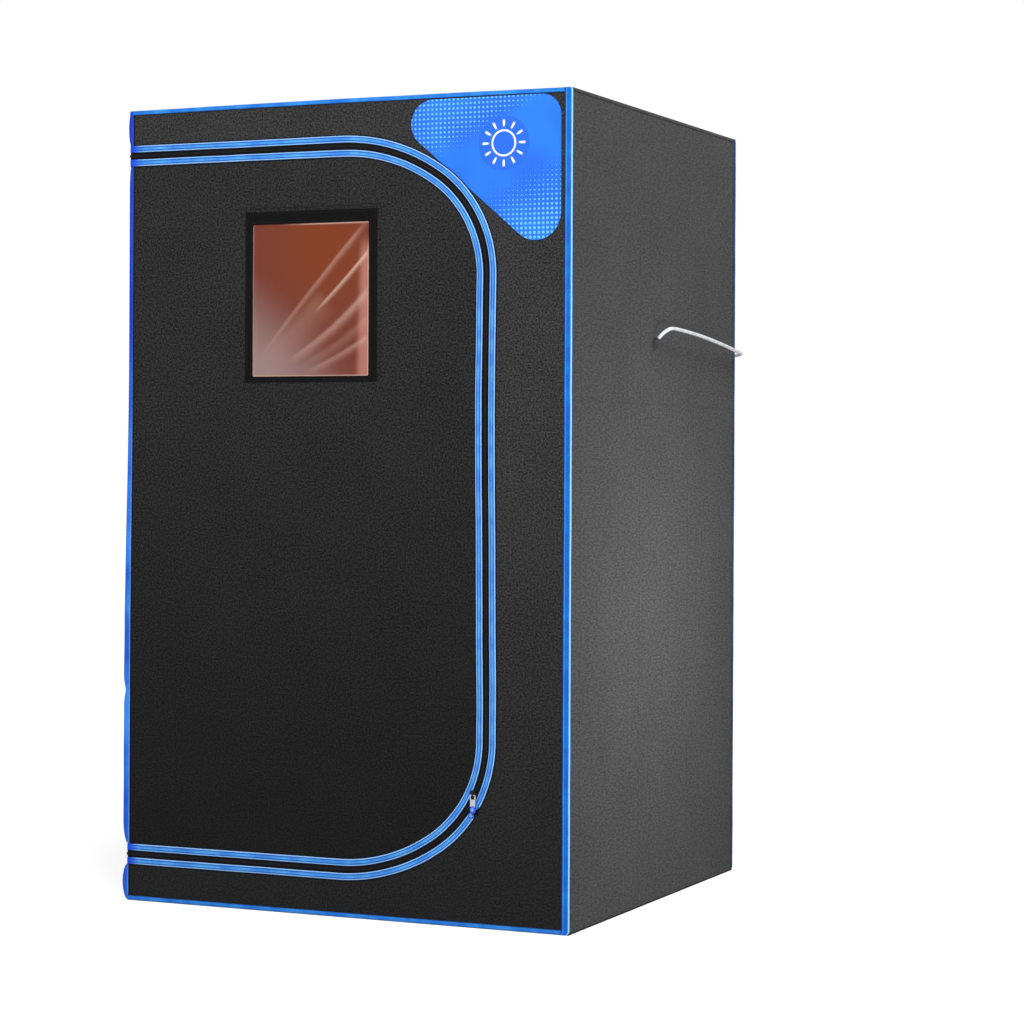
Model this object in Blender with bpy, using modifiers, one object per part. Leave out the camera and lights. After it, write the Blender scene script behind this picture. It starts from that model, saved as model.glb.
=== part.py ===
"""Portable infrared sauna: a box tent of padded fabric over a tube frame.

The tent stands on the floor with its front towards -Y. The origin is at the middle of its base, on the
floor. A large door flap with a window is closed by a zip that runs round it, and folds about the front
left corner. Inside are the frame, the heating panels and the controller. The mains lead leaves through
the right wall, runs behind the tent and lies coiled on the floor there.
"""

import math

import bmesh
import bpy
from mathutils import Matrix, Vector

# Driving dimensions in metres
WIDTH = 0.975
DEPTH = 0.920
HEIGHT = 1.600
GAP = 0.0003  # clearance between pieces that touch
OVERRUN = 0.010  # how far a cutter passes the faces that it cuts
FABRIC = 0.004  # padded wall thickness

# Edge binding: the strip's width on each side of the front, and how far it folds round the corner
BINDING = 0.0015
BINDING_LEFT = 0.009
BINDING_RIGHT = 0.016
BINDING_TOP = 0.0075
BINDING_BOTTOM = 0.0085
BINDING_REAR = 0.010
BINDING_FOLD = 0.012

# Door: the zip's centre line is two level runs and an upright side. Each corner joins them by a wide arc
# that leaves the level run and a tighter one that runs into the side.
DOOR_TOP_MARGIN = 0.0917  # from the tent's top edge
DOOR_SIDE_MARGIN = 0.1760  # from the tent's right edge
DOOR_BOTTOM = 0.0940
DOOR_WIDE_RADIUS = 0.370
DOOR_SIDE_RADIUS = 0.240
DOOR_JOIN = math.radians(56.0)  # direction, above the level, in which the two arcs of a corner meet
DOOR_WIDE_STEPS = 7
DOOR_SIDE_STEPS = 11
HINGE_STAND_OFF = 0.001  # the fold line lies this far outside the corner

# Zip: half of the open channel, the tape, its raised bead of coils and the coloured trim beside it
ZIP_CHANNEL = 0.005
ZIP_TAPE_REACH = 0.0195
ZIP_TAPE = 0.0008
ZIP_BEAD_WIDTH = 0.0030
ZIP_BEAD_HEIGHT = 0.0024
ZIP_TRIM_START = 0.006
ZIP_TRIM_REACH = 0.020
ZIP_TRIM = 0.0012

# Zip slider, its bail and the pull tab, which hangs from a cross bar under the bail
SLIDER_ANGLE = math.radians(-25.0)  # where it stands on the lower corner's tighter arc
SLIDER_LENGTH = 0.020
SLIDER_WIDTH = 0.0105
SLIDER_THICKNESS = 0.0034
SLIDER_ROUNDING = 0.0012
BAIL_SPAN = 0.0096
BAIL_HEIGHT = 0.0046
BAIL_WIRE = 0.0020
TAB_LENGTH = 0.024
TAB_WIDTH = 0.0120
TAB_END_WIDTH = 0.0100
TAB_THICKNESS = 0.0016
TAB_BAR = 0.0014
TAB_WINDOW_LENGTH = 0.0074
TAB_WINDOW_WIDTH = 0.0078
TIP_LENGTH = 0.016
TIP_WIDTH = 0.0118
TIP_THICKNESS = 0.0050
TIP_GRIP = 0.0040  # how much of the tab the moulded tip holds

# Window: the clear opening in the door flap, placed from the tent's top left corner, and its frame
WINDOW_LEFT_MARGIN = 0.2870
WINDOW_TOP_MARGIN = 0.2400
WINDOW_WIDTH = 0.2580
WINDOW_HEIGHT = 0.3010
WINDOW_ROUNDING = 0.010
WINDOW_FILM = 0.0008
WINDOW_LAP = 0.006  # how far the film laps the flap round its opening
FRAME_LEFT = 0.017
FRAME_RIGHT = 0.018
FRAME_BOTTOM = 0.011
FRAME_TOP = 0.025
FRAME_THICKNESS = 0.0010

# Label patch: a rounded triangle in the upper right corner of the front
LABEL_SIDE_MARGIN = 0.0240
LABEL_TOP_MARGIN = 0.0100
LABEL_WIDTH = 0.3155
LABEL_HEIGHT = 0.2770
LABEL_LEFT_RADIUS = 0.046
LABEL_LOWER_RADIUS = 0.052
LABEL_UPPER_RADIUS = 0.041
LABEL_THICKNESS = 0.0008
LABEL_ARC_STEPS = 8

# Tube frame: tubes in three-way corner connectors
TUBE_RADIUS = 0.0095
TUBE_WALL = 0.0010
TUBE_SIDES = 16
SOCKET_WALL = 0.0025
SOCKET_REACH = 0.050
HUB_HALF = 0.0127
HUB_ROUNDING = 0.003
BORE_START = 0.014  # distance from the corner's centre to the bottom of each socket

# Heating panels: width or length, height of the lower edge, and distance of the upper edge from the top
HEATER = 0.006
HEATER_ROUNDING = 0.002
REAR_HEATER_WIDTH = 0.560
REAR_HEATER_FOOT = 0.345
REAR_HEATER_TOP_MARGIN = 0.505
SIDE_HEATER_WIDTH = 0.500
SIDE_HEATER_FOOT = 0.295
SIDE_HEATER_TOP_MARGIN = 0.655
SIDE_HEATER_OFFSET = 0.020
FOOT_HEATER_WIDTH = 0.420
FOOT_HEATER_LENGTH = 0.300
FOOT_HEATER_THICKNESS = 0.010
FOOT_HEATER_OFFSET = -0.200
LEAD_RADIUS = 0.0025

# Controller on the inside of the right wall, behind the gland
CASE_WIDTH = 0.084
CASE_HEIGHT = 0.140
CASE_DEPTH = 0.028
CASE_ROUNDING = 0.005
CASE_DROP = 0.030  # the case's middle lies this far below the gland
DISPLAY_WIDTH = 0.056
DISPLAY_HEIGHT = 0.034
DISPLAY_DEPTH = 0.0022
DISPLAY_RISE = 0.034
DISPLAY_PROUD = 0.0005
BUTTON_RADIUS = 0.0065
BUTTON_LENGTH = 0.0045
BUTTON_PROUD = 0.0018
BUTTON_TRAVEL = 0.0012
BUTTON_SIDES = 20
BUTTON_SPACING = 0.022
BUTTON_DROP = 0.022
BUTTON_ROUNDING = 0.0006

# Cable gland in the right wall: a flange, a barrel through the wall and a short tilted boot
GLAND_REAR_MARGIN = 0.4855  # from the tent's rear edge
GLAND_TOP_MARGIN = 0.4664  # from the tent's top
GLAND_FLANGE_RADIUS = 0.0105
GLAND_FLANGE = 0.0016
GLAND_BARREL_RADIUS = 0.0078
BOOT_ROOT_RADIUS = 0.0053
BOOT_TIP_RADIUS = 0.0045
BOOT_REACH = 0.0065
GLAND_SIDES = 24

# Mains lead: its diameter, and hand-chosen points along its free stretch. The first list starts at the
# gland, and the second starts where the lead reaches the end of its fall down the rear wall. Each point
# is an offset from the tent's rear right edge and, in the first list, from the gland's height.
LEAD = 0.0075
UPPER_ROUTE = [
    (0.0040, -0.4855, 0.0069),
    (0.0116, -0.4831, 0.0160),
    (0.0180, -0.4764, 0.0238),
    (0.0223, -0.4664, 0.0290),
    (0.0240, -0.4540, 0.0312),
    (0.0252, -0.4300, 0.0314),
    (0.0263, -0.3750, 0.0286),
    (0.0260, -0.2880, 0.0232),
    (0.0240, -0.1850, 0.0146),
    (0.0205, -0.0900, 0.0057),
    (0.0182, -0.0400, 0.0002),
    (0.0177, -0.0182, -0.0021),
    (0.0130, -0.0007, -0.0041),
    (0.0002, 0.0121, -0.0060),
    (-0.0173, 0.0168, -0.0080),
    (-0.0355, 0.0142, -0.0100),
    (-0.0575, 0.0080, -0.0126),
    (-0.0685, 0.0055, -0.0138),
    (-0.0835, 0.0046, -0.0156),
    (-0.1025, 0.0044, -0.0207),
    (-0.1164, 0.0045, -0.0346),
    (-0.1215, 0.0048, -0.0536),
    (-0.1220, 0.0055, -0.1036),
]
LOWER_ROUTE = [
    (-0.1220, 0.0055, 0.0900),
    (-0.1220, 0.0055, 0.0432),
    (-0.1220, 0.0106, 0.0242),
    (-0.1220, 0.0245, 0.0103),
    (-0.1220, 0.0435, 0.0053),
    (-0.1220, 0.0550, 0.00515),
]
FALL_POINTS = 3  # points on the straight fall between the two lists
ROUTE_SPACING_SHARE = 2.9  # tube points lie this many diameters apart at most

# Coil at the lead's far end: loops spiral in on the floor and out again on top of them
COIL_TURNS = 4
COIL_STEPS = 24  # points in each loop
COIL_OUTER = 0.0520
COIL_SPARE = 0.0006  # between neighbouring turns
TAIL_RUN = 0.040
TAIL_RISE = 0.0055
TAIL_STEPS = 5
TIE_WIDTH = 0.012
TIE_THICKNESS = 0.0008
TIE_SLACK = 0.0009
TIE_ROUNDING = 0.0035

# Plug, a profile turned about the lead's end
PLUG_RELIEF_LENGTH = 0.026
PLUG_RELIEF_RADIUS = 0.0052
PLUG_NECK_RADIUS = 0.0080
PLUG_NECK_LENGTH = 0.006
PLUG_SHOULDER = 0.013
PLUG_SHOULDER_SHARE = 0.8  # radius of the shoulder's inner ring, as a share of the body's
PLUG_BODY_RADIUS = 0.0182
PLUG_BODY_LENGTH = 0.024
PLUG_SIDES = 24
PIN_RADIUS = 0.0024
PIN_LENGTH = 0.019
PIN_SPACING = 0.019
PIN_ROOT = 0.004

# Keeper: a webbing loop sewn to the rear wall that holds the lead
KEEPER_SIDE_MARGIN = 0.0750  # from the tent's right edge
KEEPER_DROP = 0.0146  # below the gland
KEEPER_WIDTH = 0.018
KEEPER_WEBBING = 0.0010
KEEPER_SLACK = 0.0014  # room round the lead inside the loop
KEEPER_FLAP = 0.014

# Derived places
FACE = DEPTH / 2 - BINDING - GAP  # outer face of the front and rear walls, from the middle
SIDE = WIDTH / 2 - BINDING - GAP  # outer face of the side walls
ROOF = HEIGHT - BINDING - GAP  # outer face of the roof
WALL_TOP = ROOF - FABRIC - GAP
WALL_FOOT = FABRIC + GAP
DOOR_TOP = HEIGHT - DOOR_TOP_MARGIN
DOOR_SIDE = WIDTH / 2 - DOOR_SIDE_MARGIN
WINDOW_LEFT = -WIDTH / 2 + WINDOW_LEFT_MARGIN
WINDOW_RIGHT = WINDOW_LEFT + WINDOW_WIDTH
WINDOW_TOP = HEIGHT - WINDOW_TOP_MARGIN
WINDOW_BOTTOM = WINDOW_TOP - WINDOW_HEIGHT
LABEL_RIGHT = WIDTH / 2 - LABEL_SIDE_MARGIN
LABEL_LEFT = LABEL_RIGHT - LABEL_WIDTH
LABEL_TOP = HEIGHT - LABEL_TOP_MARGIN
LABEL_BOTTOM = LABEL_TOP - LABEL_HEIGHT
GLAND_Y = DEPTH / 2 - GLAND_REAR_MARGIN
GLAND_Z = HEIGHT - GLAND_TOP_MARGIN
KEEPER_X = WIDTH / 2 - KEEPER_SIDE_MARGIN
KEEPER_Z = GLAND_Z - KEEPER_DROP
REAR_HEATER_TOP = HEIGHT - REAR_HEATER_TOP_MARGIN
SIDE_HEATER_TOP = HEIGHT - SIDE_HEATER_TOP_MARGIN
SIDE_ARC_X = DOOR_SIDE - DOOR_SIDE_RADIUS
WIDE_ARC_X = SIDE_ARC_X - (DOOR_WIDE_RADIUS - DOOR_SIDE_RADIUS) * math.cos(DOOR_JOIN)
SIDE_ARC_DROP = DOOR_WIDE_RADIUS - (DOOR_WIDE_RADIUS - DOOR_SIDE_RADIUS) * math.sin(DOOR_JOIN)
LOWER_ARC_Z = DOOR_BOTTOM + SIDE_ARC_DROP
HINGE_X = -WIDTH / 2 - HINGE_STAND_OFF
HINGE_Y = -DEPTH / 2 - HINGE_STAND_OFF
TAPE_Y = -FACE - GAP - ZIP_TAPE / 2
BEAD_Y = -FACE - GAP - ZIP_BEAD_HEIGHT / 2
TRIM_Y = -FACE - 2 * GAP - ZIP_TAPE - ZIP_TRIM / 2
FILM_Y = -FACE - GAP - WINDOW_FILM / 2
WINDOW_FRAME_Y = -FACE - 2 * GAP - WINDOW_FILM - FRAME_THICKNESS / 2
LABEL_Y = -FACE - GAP - LABEL_THICKNESS / 2
SLIDER_Y = -FACE - 2 * GAP - ZIP_BEAD_HEIGHT - SLIDER_THICKNESS / 2
TAB_Y = SLIDER_Y - SLIDER_THICKNESS / 2 - GAP - math.hypot(TAB_BAR, TAB_THICKNESS) / 2
SLIDER_X = SIDE_ARC_X + DOOR_SIDE_RADIUS * math.cos(SLIDER_ANGLE)
SLIDER_Z = LOWER_ARC_Z + DOOR_SIDE_RADIUS * math.sin(SLIDER_ANGLE)
CORNER_INSET = FABRIC + GAP + HUB_HALF
CORNER_X = SIDE - CORNER_INSET
CORNER_Y = FACE - CORNER_INSET
CORNER_LOW = WALL_FOOT + HUB_HALF
CORNER_HIGH = WALL_TOP - HUB_HALF
INNER_X = SIDE - FABRIC - GAP
INNER_Y = FACE - FABRIC - GAP
CASE_Z = GLAND_Z - CASE_DROP
CASE_FACE = INNER_X - CASE_DEPTH
COIL_PITCH = LEAD + COIL_SPARE

QUARTER = math.pi / 2
PARTS = bpy.data.collections.new("portable_sauna")
CUTTERS = bpy.data.collections.new("portable_sauna_cutters")


def clear_scene():
    """Removes whatever the scene holds and links the two collections of the model."""
    for obj in list(bpy.data.objects):
        bpy.data.objects.remove(obj, do_unlink=True)
    bpy.context.scene.collection.children.link(PARTS)
    bpy.context.scene.collection.children.link(CUTTERS)


def finish(name, colour, roughness, metallic=0.0):
    """A Principled material of one colour, made once for each name."""
    made = bpy.data.materials.get(name)
    if made is None:
        made = bpy.data.materials.new(name)
        made.use_nodes = True
        surface = made.node_tree.nodes["Principled BSDF"]
        surface.inputs["Base Color"].default_value = (*colour, 1.0)
        surface.inputs["Roughness"].default_value = roughness
        surface.inputs["Metallic"].default_value = metallic
    return made


def black_fabric():
    return finish("black_fabric", (0.024, 0.024, 0.025), 0.9)


def grey_fabric():
    return finish("grey_fabric", (0.075, 0.075, 0.078), 0.9)


def blue_tape():
    return finish("blue_tape", (0.030, 0.190, 0.800), 0.6)


def blue_plastic():
    return finish("blue_plastic", (0.030, 0.190, 0.800), 0.4)


def zip_black():
    return finish("zip_black", (0.010, 0.010, 0.012), 0.5)


def polished_steel():
    return finish("polished_steel", (0.700, 0.700, 0.720), 0.25, 1.0)


def painted_tube():
    return finish("painted_tube", (0.550, 0.560, 0.580), 0.45, 0.3)


def black_plastic():
    return finish("black_plastic", (0.020, 0.020, 0.022), 0.5)


def white_plastic():
    return finish("white_plastic", (0.800, 0.800, 0.790), 0.35)


def heater_cloth():
    return finish("heater_cloth", (0.060, 0.055, 0.055), 0.85)


def window_film_plastic():
    return finish("window_film_plastic", (0.230, 0.070, 0.040), 0.15)


def place(obj, material, parent=None):
    """Gives an object its material and keeps its world place when it is parented."""
    obj.data.materials.clear()
    obj.data.materials.append(material)
    if parent is not None:
        bpy.context.view_layer.update()
        obj.parent = parent
        obj.matrix_parent_inverse = parent.matrix_world.inverted()
    return obj


def new_object(name, data, collection=PARTS):
    obj = bpy.data.objects.new(name, data)
    collection.objects.link(obj)
    return obj


def pivot(name, location, parent=None):
    """An empty on a joint's axis. The pieces that turn with the joint are parented to it."""
    empty = new_object(name, None)
    empty.location = location
    bpy.context.view_layer.update()
    if parent is not None:
        empty.parent = parent
        empty.matrix_parent_inverse = parent.matrix_world.inverted()
        bpy.context.view_layer.update()
    return empty


def outline_curve(name, outlines, thickness, collection=PARTS):
    """A flat plate from closed outlines in its own X and Y, the later ones being holes in the first."""
    curve = bpy.data.curves.new(name, "CURVE")
    curve.dimensions = "2D"
    curve.fill_mode = "BOTH"
    curve.extrude = thickness / 2
    for outline in outlines:
        spline = curve.splines.new("POLY")
        spline.points.add(len(outline) - 1)
        for point, (u, v) in zip(spline.points, outline):
            point.co = (u, v, 0, 1)
        spline.use_cyclic_u = True
    return new_object(name, curve, collection)


def front_plate(name, outlines, thickness, y, collection=PARTS):
    """A plate that stands in the XZ plane, with its middle plane at y."""
    plate = outline_curve(name, outlines, thickness, collection)
    plate.rotation_euler = (QUARTER, 0, 0)
    plate.location = (0, y, 0)
    return plate


def side_plate(name, outlines, thickness, x, collection=PARTS):
    """A plate that stands in the YZ plane, with its middle plane at x."""
    plate = outline_curve(name, outlines, thickness, collection)
    plate.rotation_euler = (QUARTER, 0, QUARTER)
    plate.location = (x, 0, 0)
    return plate


def level_plate(name, outlines, thickness, z):
    """A plate that lies in the XY plane, with its middle plane at z."""
    plate = outline_curve(name, outlines, thickness)
    plate.location = (0, 0, z)
    return plate


def meshed(obj):
    """Turns a curve object into a mesh with welded caps, so that it can be cut or joined."""
    bpy.context.view_layer.update()
    graph = bpy.context.evaluated_depsgraph_get()
    mesh = bpy.data.meshes.new_from_object(obj.evaluated_get(graph))
    work = bmesh.new()
    work.from_mesh(mesh)
    bmesh.ops.remove_doubles(work, verts=work.verts, dist=GAP / 10)
    bmesh.ops.recalc_face_normals(work, faces=work.faces)
    work.to_mesh(mesh)
    work.free()
    name, matrix, collection = obj.name, obj.matrix_world.copy(), obj.users_collection[0]
    bpy.data.objects.remove(obj, do_unlink=True)
    solid = new_object(name, mesh, collection)
    solid.matrix_world = matrix
    bpy.context.view_layer.update()
    return solid


def cutter(obj):
    """Marks an object as a guide that the model leaves out."""
    obj.hide_render = True
    obj.display_type = "WIRE"
    for collection in list(obj.users_collection):
        collection.objects.unlink(obj)
    CUTTERS.objects.link(obj)
    return obj


def combine(obj, other, operation):
    """Joins, cuts or keeps the overlap of obj with a guide, by an exact Boolean."""
    step = obj.modifiers.new(other.name, "BOOLEAN")
    step.operation = operation
    step.solver = "EXACT"
    step.object = cutter(other)
    return obj


def box(name, low, high, collection=PARTS):
    """A box between two corners, with its scale applied to its mesh."""
    work = bmesh.new()
    bmesh.ops.create_cube(work, size=1.0)
    low, high = Vector(low), Vector(high)
    size, middle = high - low, (high + low) / 2
    bmesh.ops.scale(work, verts=work.verts, vec=size)
    mesh = bpy.data.meshes.new(name)
    work.to_mesh(mesh)
    work.free()
    obj = new_object(name, mesh, collection)
    obj.location = middle
    bpy.context.view_layer.update()
    return obj


def cylinder(name, radius, start, end, sides, collection=PARTS, tip_radius=None):
    """A closed cylinder or cone between two points, with its scale applied to its mesh."""
    start, end = Vector(start), Vector(end)
    work = bmesh.new()
    bmesh.ops.create_cone(
        work,
        cap_ends=True,
        segments=sides,
        radius1=radius,
        radius2=radius if tip_radius is None else tip_radius,
        depth=(end - start).length,
    )
    mesh = bpy.data.meshes.new(name)
    work.to_mesh(mesh)
    work.free()
    obj = new_object(name, mesh, collection)
    turn = (end - start).to_track_quat("Z", "Y").to_matrix().to_4x4()
    obj.matrix_world = Matrix.Translation((start + end) / 2) @ turn
    bpy.context.view_layer.update()
    return obj


def bevel(obj, width, segments=2):
    rounding = obj.modifiers.new("rounding", "BEVEL")
    rounding.width = width
    rounding.segments = segments
    rounding.limit_method = "ANGLE"
    return obj


def turned(name, profile, sides, matrix):
    """A profile of radius and height, turned about its own Z and placed by a matrix."""
    mesh = bpy.data.meshes.new(name)
    mesh.from_pydata([(r, 0, h) for r, h in profile], [(i, i + 1) for i in range(len(profile) - 1)], [])
    obj = new_object(name, mesh)
    screw = obj.modifiers.new("turn", "SCREW")
    screw.steps = sides
    screw.render_steps = sides
    screw.use_merge_vertices = True
    screw.merge_threshold = GAP / 10
    obj.matrix_world = matrix
    bpy.context.view_layer.update()
    return obj


def smooth(obj):
    obj.data.shade_smooth()
    obj.data.set_sharp_from_angle(angle=math.radians(40))
    return obj


def rounded_rectangle(left, right, bottom, top, radius, steps=4):
    """Corner arcs of a rectangle, anticlockwise from the lower left."""
    points = []
    for index, (x, z) in enumerate(
        [
            (left + radius, bottom + radius),
            (right - radius, bottom + radius),
            (right - radius, top - radius),
            (left + radius, top - radius),
        ]
    ):
        for step in range(steps + 1):
            angle = math.pi + QUARTER * (index + step / steps)
            points.append((x + radius * math.cos(angle), z + radius * math.sin(angle)))
    return points


def rectangle(left, right, bottom, top):
    return [(left, bottom), (right, bottom), (right, top), (left, top)]


def door_line(offset, left):
    """The door's closing line moved outwards by offset, from the upper left end round to the lower."""
    wide, side = DOOR_WIDE_RADIUS + offset, DOOR_SIDE_RADIUS + offset
    corner = []
    for step in range(DOOR_WIDE_STEPS):
        angle = QUARTER - (QUARTER - DOOR_JOIN) * step / DOOR_WIDE_STEPS
        corner.append((WIDE_ARC_X + wide * math.cos(angle), wide * math.sin(angle) - DOOR_WIDE_RADIUS))
    for step in range(DOOR_SIDE_STEPS + 1):
        angle = DOOR_JOIN * (1 - step / DOOR_SIDE_STEPS)
        corner.append((SIDE_ARC_X + side * math.cos(angle), side * math.sin(angle) - SIDE_ARC_DROP))
    upper = [(x, DOOR_TOP + z) for x, z in corner]
    lower = [(x, DOOR_BOTTOM - z) for x, z in corner[::-1]]
    return [(left, DOOR_TOP + offset), *upper, *lower, (left, DOOR_BOTTOM - offset)]


def door_strip(inner, outer, left):
    """A strip that follows the closing line between two offsets from it."""
    return door_line(outer, left) + door_line(inner, left)[::-1]


def make_walls(door):
    """The padded panels of the tent: six walls and the door flap."""
    mid_face = FACE - FABRIC / 2
    front = door_line(ZIP_CHANNEL, -SIDE)
    outline = [(-SIDE, WALL_TOP), *front, (-SIDE, WALL_FOOT), (SIDE, WALL_FOOT), (SIDE, WALL_TOP)]
    place(front_plate("front_wall", [outline], FABRIC, -mid_face), black_fabric())

    window = rounded_rectangle(WINDOW_LEFT, WINDOW_RIGHT, WINDOW_BOTTOM, WINDOW_TOP, WINDOW_ROUNDING)
    flap = meshed(front_plate("door_flap", [door_line(-ZIP_CHANNEL, -SIDE)], FABRIC, -mid_face))
    opening = meshed(front_plate("window_opening", [window], 2 * FABRIC, -mid_face))
    place(combine(flap, opening, "DIFFERENCE"), black_fabric(), door)

    rear = [rectangle(-SIDE, SIDE, WALL_FOOT, WALL_TOP)]
    place(front_plate("rear_wall", rear, FABRIC, mid_face), black_fabric())

    reach = FACE - FABRIC - GAP
    mid_side = SIDE - FABRIC / 2
    whole = [rectangle(-reach, reach, WALL_FOOT, WALL_TOP)]
    place(side_plate("left_wall", whole, FABRIC, -mid_side), grey_fabric())
    right = side_plate("right_wall", whole, FABRIC, mid_side)
    hole = cylinder(
        "gland_hole",
        GLAND_BARREL_RADIUS + GAP,
        (mid_side - FABRIC, GLAND_Y, GLAND_Z),
        (mid_side + FABRIC, GLAND_Y, GLAND_Z),
        GLAND_SIDES,
    )
    place(combine(meshed(right), hole, "DIFFERENCE"), grey_fabric())

    lid = [rectangle(-SIDE, SIDE, -FACE, FACE)]
    place(level_plate("roof_panel", lid, FABRIC, ROOF - FABRIC / 2), black_fabric())
    place(level_plate("floor_panel", lid, FABRIC, FABRIC / 2), black_fabric())


def fold_binding(name, facing, left, right, top, bottom, fold):
    """Binding round the edges of one end wall, folded back over the sides and the roof.

    The open surface is an end wall's face with its middle taken out, and the strips that turn back from
    it. It is thickened inwards. The facing is -1 for the front and 1 for the rear.
    """
    work = bmesh.new()
    bmesh.ops.create_cube(work, size=1.0)
    bmesh.ops.scale(work, verts=work.verts, vec=(WIDTH, fold, HEIGHT - GAP))
    middle = (0, facing * (DEPTH - fold) / 2, (HEIGHT + GAP) / 2)
    bmesh.ops.translate(work, verts=work.verts, vec=middle)
    end = next(f for f in work.faces if f.normal.y * facing > 0.5)
    gone = [f for f in work.faces if f.normal.y * facing < -0.5 or f.normal.z < -0.5]
    bmesh.ops.delete(work, geom=gone, context="FACES")
    bmesh.ops.inset_region(work, faces=[end], thickness=fold / 2, use_boundary=True, use_even_offset=True)
    for vert in end.verts:
        vert.co.x = WIDTH / 2 - right if vert.co.x > 0 else -WIDTH / 2 + left
        vert.co.z = HEIGHT - top if vert.co.z > HEIGHT / 2 else bottom
    bmesh.ops.delete(work, geom=[end], context="FACES")
    mesh = bpy.data.meshes.new(name)
    work.to_mesh(mesh)
    work.free()
    obj = new_object(name, mesh)
    shell = obj.modifiers.new("shell", "SOLIDIFY")
    shell.thickness = BINDING
    shell.offset = -1.0
    shell.use_even_offset = True
    return obj


def make_bindings(door):
    """Edge bindings. The front one leaves the door's own strip at the left corner free."""
    clear = ZIP_TRIM_REACH + GAP
    low, high = DOOR_BOTTOM - clear, DOOR_TOP + clear
    front = fold_binding(
        "front_binding", -1, BINDING_LEFT, BINDING_RIGHT, BINDING_TOP, BINDING_BOTTOM, BINDING_FOLD
    )
    door_way = box(
        "door_fold",
        (-WIDTH / 2 - OVERRUN, -DEPTH / 2 - OVERRUN, low),
        (-WIDTH / 2 + BINDING_LEFT + OVERRUN, -DEPTH / 2 + BINDING + GAP / 2, high),
    )
    place(combine(front, door_way, "DIFFERENCE"), blue_tape())

    left = -WIDTH / 2 + GAP
    strip = [rectangle(left, left + BINDING_LEFT, DOOR_BOTTOM + clear, DOOR_TOP - clear)]
    strip_y = -DEPTH / 2 + BINDING / 2
    place(front_plate("door_binding", strip, BINDING, strip_y), blue_tape(), door)

    rear = fold_binding(
        "rear_binding", 1, BINDING_REAR, BINDING_REAR, BINDING_REAR, BINDING_BOTTOM, BINDING_REAR
    )
    place(rear, blue_tape())


def make_zip(door):
    """The two zip tapes, each with its raised bead of coils, and the trims that cover their edges."""
    for side, sign, parent in (("wall", 1, None), ("door", -1, door)):
        near, far = sorted((sign * GAP / 2, sign * ZIP_BEAD_WIDTH))
        bead = front_plate(f"zip_bead_{side}", [door_strip(near, far, -SIDE + GAP)], ZIP_BEAD_HEIGHT, BEAD_Y)
        near, far = sorted((sign * ZIP_BEAD_WIDTH / 2, sign * ZIP_TAPE_REACH))
        tape = front_plate(f"zip_tape_{side}", [door_strip(near, far, -SIDE)], ZIP_TAPE, TAPE_Y)
        bead.location.y -= GAP / 2
        place(combine(meshed(tape), meshed(bead), "UNION"), zip_black(), parent)
        near, far = sorted((sign * ZIP_TRIM_START, sign * ZIP_TRIM_REACH))
        trim = front_plate(f"zip_trim_{side}", [door_strip(near, far, -SIDE)], ZIP_TRIM, TRIM_Y)
        place(trim, blue_tape(), parent)


def make_slider(slider):
    """The slider, which straddles the beads, with the bail that the tab hangs from."""
    half = Vector((SLIDER_WIDTH, SLIDER_THICKNESS, SLIDER_LENGTH)) / 2
    body = bevel(box("zip_slider", -half, half), SLIDER_ROUNDING)
    wire = bpy.data.curves.new("bail", "CURVE")
    wire.dimensions = "3D"
    wire.bevel_depth = BAIL_WIRE / 2
    wire.bevel_resolution = 1
    wire.use_fill_caps = True
    arch = wire.splines.new("POLY")
    foot = -SLIDER_THICKNESS / 2 + BAIL_WIRE / 2
    shoulder = -SLIDER_THICKNESS / 2 - BAIL_HEIGHT + BAIL_WIRE
    crown = -SLIDER_THICKNESS / 2 - BAIL_HEIGHT + BAIL_WIRE / 2
    reach = BAIL_SPAN / 2
    points = [(-reach, foot), (-reach, shoulder), (-reach + BAIL_WIRE / 2, crown)]
    points += [(-along, height) for along, height in reversed(points)]
    arch.points.add(len(points) - 1)
    for point, (along, height) in zip(arch.points, points):
        point.co = (0, height, along, 1)
    bail = meshed(new_object("bail", wire))
    turn = Matrix.Translation((SLIDER_X, SLIDER_Y, SLIDER_Z)) @ Matrix.Rotation(-SLIDER_ANGLE, 4, "Y")
    body.matrix_world = turn
    bail.matrix_world = turn
    bpy.context.view_layer.update()
    place(combine(body, bail, "UNION"), zip_black(), slider)


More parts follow.
